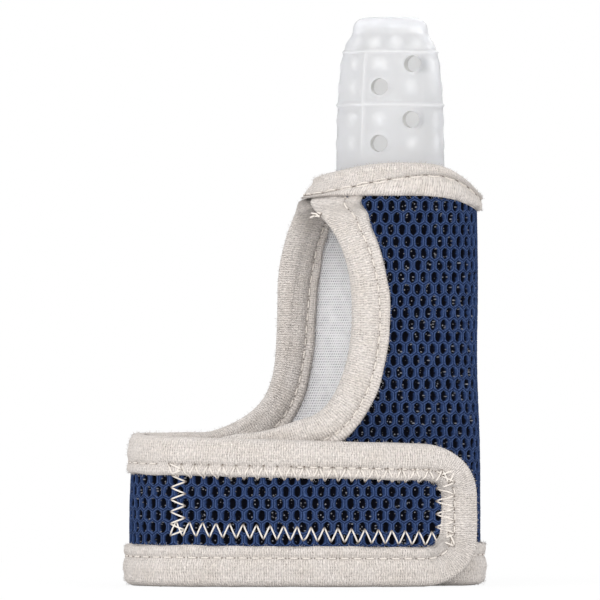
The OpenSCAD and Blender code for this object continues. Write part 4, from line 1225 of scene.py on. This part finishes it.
def cap_surface():
    """Points of the cap, its air holes as (angle, z) and its mark: 0 inside, where the finish paints shade,
    and more with thickness outside, where it paints a highlight.

    A smoothed outline is turned about the thumb's axis. Ribs rise as bell curves, bumps as a squared cosine,
    and each air hole gets a low rim.
    """
    out = smoothed(resample(CAP_OUT, CAP_ROWS), 2)
    out[:, 0] = np.maximum(out[:, 0], 0)
    run = run_of(out)
    theta = np.linspace(0, 360, TURNS, endpoint=False)
    r = np.repeat(out[:, :1], TURNS, axis=1)
    z = np.repeat(out[:, 1:], TURNS, axis=1)

    def round_to(turn):
        return np.radians((theta - turn + 180) % 360 - 180) * r

    free = ease((z - RIB_LOW_Z) / RIB_FADE) * (z < RINGS[1][0])
    lift = sum(height * bell((z - at) / RING_W) for at, height in RINGS)
    for k, height in enumerate(RIB_LIFT):
        lift = np.maximum(lift, height * bell(round_to(RIB_TURN + PANEL * k) / RIB_W) * free)
    spots = [(RIB_TURN + PANEL * k + turn, at, k == 0 and (row + column) % 2 == 0)
             for k in range(5) for column, turn in enumerate(SPOT_TURNS) for row, at in enumerate(SPOT_Z)]
    spots += [(360 / CROWN_COUNT * k + CROWN_TURN, CROWN_Z, False) for k in range(CROWN_COUNT)]
    at_z = np.interp(np.array([spot[1] for spot in spots]), out[WALL_ROWS, 1], run[WALL_ROWS])
    bump = np.zeros_like(lift)
    for (turn, _, hole), at in zip(spots, at_z):
        d = np.hypot(round_to(turn), run[:, None] - at)
        if hole:
            lift = np.maximum(lift, RIM_LIFT * bell((d - RIM_R) / RIM_W))
        else:
            swell = np.cos(np.clip(d / BUMP_R, 0, 1) * np.pi / 2)
            bump = np.maximum(bump, swell)
            lift = np.maximum(lift, BUMP_LIFT * swell ** 2)
    thick = np.zeros((CAP_ROWS + CAP_ROWS_IN, TURNS))
    raised = np.maximum(RIB_MARK * np.clip(lift / RIB_FULL, 0, 1), BUMP_MARK * bump)
    thick[:CAP_ROWS] = WALL_MARK + THICK_MARK * raised
    slope = unit(np.gradient(out, axis=0))
    r, z = r + lift * slope[:, 1:], z - lift * slope[:, :1]
    inner = resample(CAP_IN, CAP_ROWS_IN + 2)[1:-1]
    r = np.concatenate([r, np.repeat(inner[:, :1], TURNS, axis=1)])
    z = np.concatenate([z, np.repeat(inner[:, 1:], TURNS, axis=1)])
    a = np.radians(theta)
    points = np.stack([THUMB_X + r * np.cos(a), Y_MID + r * np.sin(a), z], -1)
    return points, [(turn, at) for turn, at, hole in spots if hole], thick


def cap_piece():
    """The cap as one closed skin, outside and inside joined at the foot, with its air holes drilled.

    A hole is an ellipse square to the drill, so wide that it looks round from the front.
    """
    points, holes, thick = cap_surface()
    quads = np.delete(ring_quads(len(points), TURNS), CAP_ROWS - 1, axis=0).reshape(-1, 4)
    uv = np.zeros((len(quads), 4, 2))
    cap = closed_piece("silicone_cap", points.reshape(-1, 3), quads, uv, SILICONE, thick)
    work = bmesh.new()
    work.from_mesh(cap.data)
    bmesh.ops.remove_doubles(work, verts=work.verts, dist=2e-6)
    bmesh.ops.holes_fill(work, edges=[e for e in work.edges if e.is_boundary], sides=0)
    work.to_mesh(cap.data)
    work.free()
    k = np.arange(DRILL_SIDES)
    turn = 2 * np.pi * k[:, None] / DRILL_SIDES
    nxt = (k + 1) % DRILL_SIDES
    wall = np.stack([k, nxt, DRILL_SIDES + nxt, DRILL_SIDES + k], -1).tolist()
    caps = [k[::-1].tolist(), (DRILL_SIDES + k).tolist()]
    a = np.radians(HOLE_TURN)
    out, side = np.array([np.cos(a), np.sin(a), 0]), np.array([-np.sin(a), np.cos(a), 0])
    for angle, z in holes:
        a = np.radians(angle)
        faces = np.array([np.cos(a), np.sin(a), 0])
        wide = -faces @ out / faces[1]
        ring = HOLE_R * (wide * np.cos(turn) * side + np.sin(turn) * np.array([0, 0, 1.0]))
        middle = np.array([THUMB_X, Y_MID, z]) + DRILL_AT * faces
        ends = np.concatenate([middle - out * DRILL_REACH + ring, middle + out * DRILL_REACH + ring])
        drill_mesh = bpy.data.meshes.new("drill")
        drill_mesh.from_pydata((ends * MM).tolist(), [], wall + caps)
        drill = put("drill", drill_mesh)
        cut = cap.modifiers.new("air_hole", "BOOLEAN")
        cut.operation, cut.solver, cut.object = "DIFFERENCE", "EXACT", drill
        bpy.context.view_layer.update()
        cut_mesh = bpy.data.meshes.new_from_object(cap.evaluated_get(bpy.context.evaluated_depsgraph_get()))
        cap.modifiers.clear()
        cap.data = cut_mesh
        bpy.data.objects.remove(drill)
    return cap


stand_in(cap_piece(), "thumb_cap")


# Floor, light and camera
def white_to_the_eye(tree, plain, white, share=1.0):
    """Shows white to the eye, also by way of gloss and silicone, and the plain shader to other light."""
    path = add(tree, "ShaderNodeLightPath")
    seen = sums(tree, "MAXIMUM", path.outputs["Is Camera Ray"], path.outputs["Is Glossy Ray"])
    seen = sums(tree, "MAXIMUM", seen, path.outputs["Is Transmission Ray"])
    mix = add(tree, "ShaderNodeMixShader", i0=sums(tree, "MULTIPLY", seen, share), i1=plain, i2=white)
    output = next(node for node in tree.nodes if node.bl_idname.startswith("ShaderNodeOutput"))
    tree.links.new(mix.outputs[0], output.inputs[0])


FLOOR_R, FLOOR_HOLE_R, FLOOR_Z = 1600, 0.01, -0.05
# The eye gets this much of the white near the guard, and all of it further off (metres)
FLOOR_WHITE, FLOOR_NEAR, FLOOR_FAR = 0.88, 0.05, 0.2


def floor_piece():
    """A wide pale disc under the guard, white to the eye, which keeps a soft shadow."""
    rows, cols = 12, 60
    radius = np.linspace(0, 1, rows)[:, None] ** 2 * FLOOR_R + FLOOR_HOLE_R
    turn = 2 * np.pi * np.arange(cols) / cols
    points = np.stack([radius * np.cos(turn), radius * np.sin(turn), np.full((rows, cols), FLOOR_Z)], -1)
    quads = ring_quads(rows, cols)[:-1, :, ::-1].reshape(-1, 4)
    mesh = bpy.data.meshes.new("floor")
    mesh.from_pydata((points.reshape(-1, 3) * MM).tolist(), [], quads.tolist())
    finish = bpy.data.materials.new("pale_floor")
    finish.use_nodes = True
    tree = finish.node_tree
    tree.nodes.remove(tree.nodes["Principled BSDF"])
    matt = add(tree, "ShaderNodeBsdfDiffuse", Color=(0.86, 0.86, 0.86, 1))
    glow = add(tree, "ShaderNodeEmission", Color=(1, 1, 1, 1), Strength=1.0)
    where = add(tree, "ShaderNodeTexCoord").outputs["Object"]
    away = add(tree, "ShaderNodeVectorMath", {"operation": "LENGTH"}, i0=where).outputs["Value"]
    share = add(tree, "ShaderNodeMapRange", Value=away, From_Min=FLOOR_NEAR, From_Max=FLOOR_FAR,
                To_Min=FLOOR_WHITE, To_Max=1.0)
    white_to_the_eye(tree, matt.outputs[0], glow.outputs[0], share.outputs[0])
    mesh.materials.append(finish)
    put("floor", mesh)


floor_piece()

world = bpy.data.worlds.new("studio")
bpy.context.scene.world = world
world.use_nodes = True
tree = world.node_tree
tree.nodes.remove(tree.nodes["Background"])
soft, white = (add(tree, "ShaderNodeBackground", Color=(1, 1, 1, 1), Strength=level) for level in (0.8, 1.0))
white_to_the_eye(tree, soft.outputs[0], white.outputs[0])


LIT_POINT = np.array([0.0, 0.0, 0.06])


def lamp(name, place, size, power):
    """A round lamp that faces the middle of the guard."""
    data = bpy.data.lights.new(name, "AREA")
    data.shape, data.size, data.energy = "DISK", size, power
    light = put(name, data)
    light.location = place
    x, y, z = np.array(place) - LIT_POINT
    light.rotation_euler = (np.arctan2(np.hypot(x, y), z), 0, np.arctan2(x, -y))


lamp("front_lamp", (-0.12, -0.95, 0.3), 0.5, 3.4)
lamp("key_lamp", (-0.6, -0.5, 0.6), 0.5, 2.0)
lamp("fill_lamp", (0.6, -0.6, 0.35), 0.6, 1.4)
lamp("top_lamp", (0.1, 0.25, 0.8), 0.6, 1.2)
lamp("back_lamp", (0.3, 0.9, 0.5), 0.6, 1.4)

eye = bpy.data.cameras.new("camera")
eye.lens, eye.sensor_width = 600, 36
eye.clip_start, eye.clip_end = 0.01, 10
camera = put("camera", eye)
camera.location = (-0.0011, -2.216, 0.0631)
camera.rotation_euler = (np.pi / 2, 0, 0)
bpy.context.scene.camera = camera
bpy.context.scene.view_settings.view_transform = "Standard"
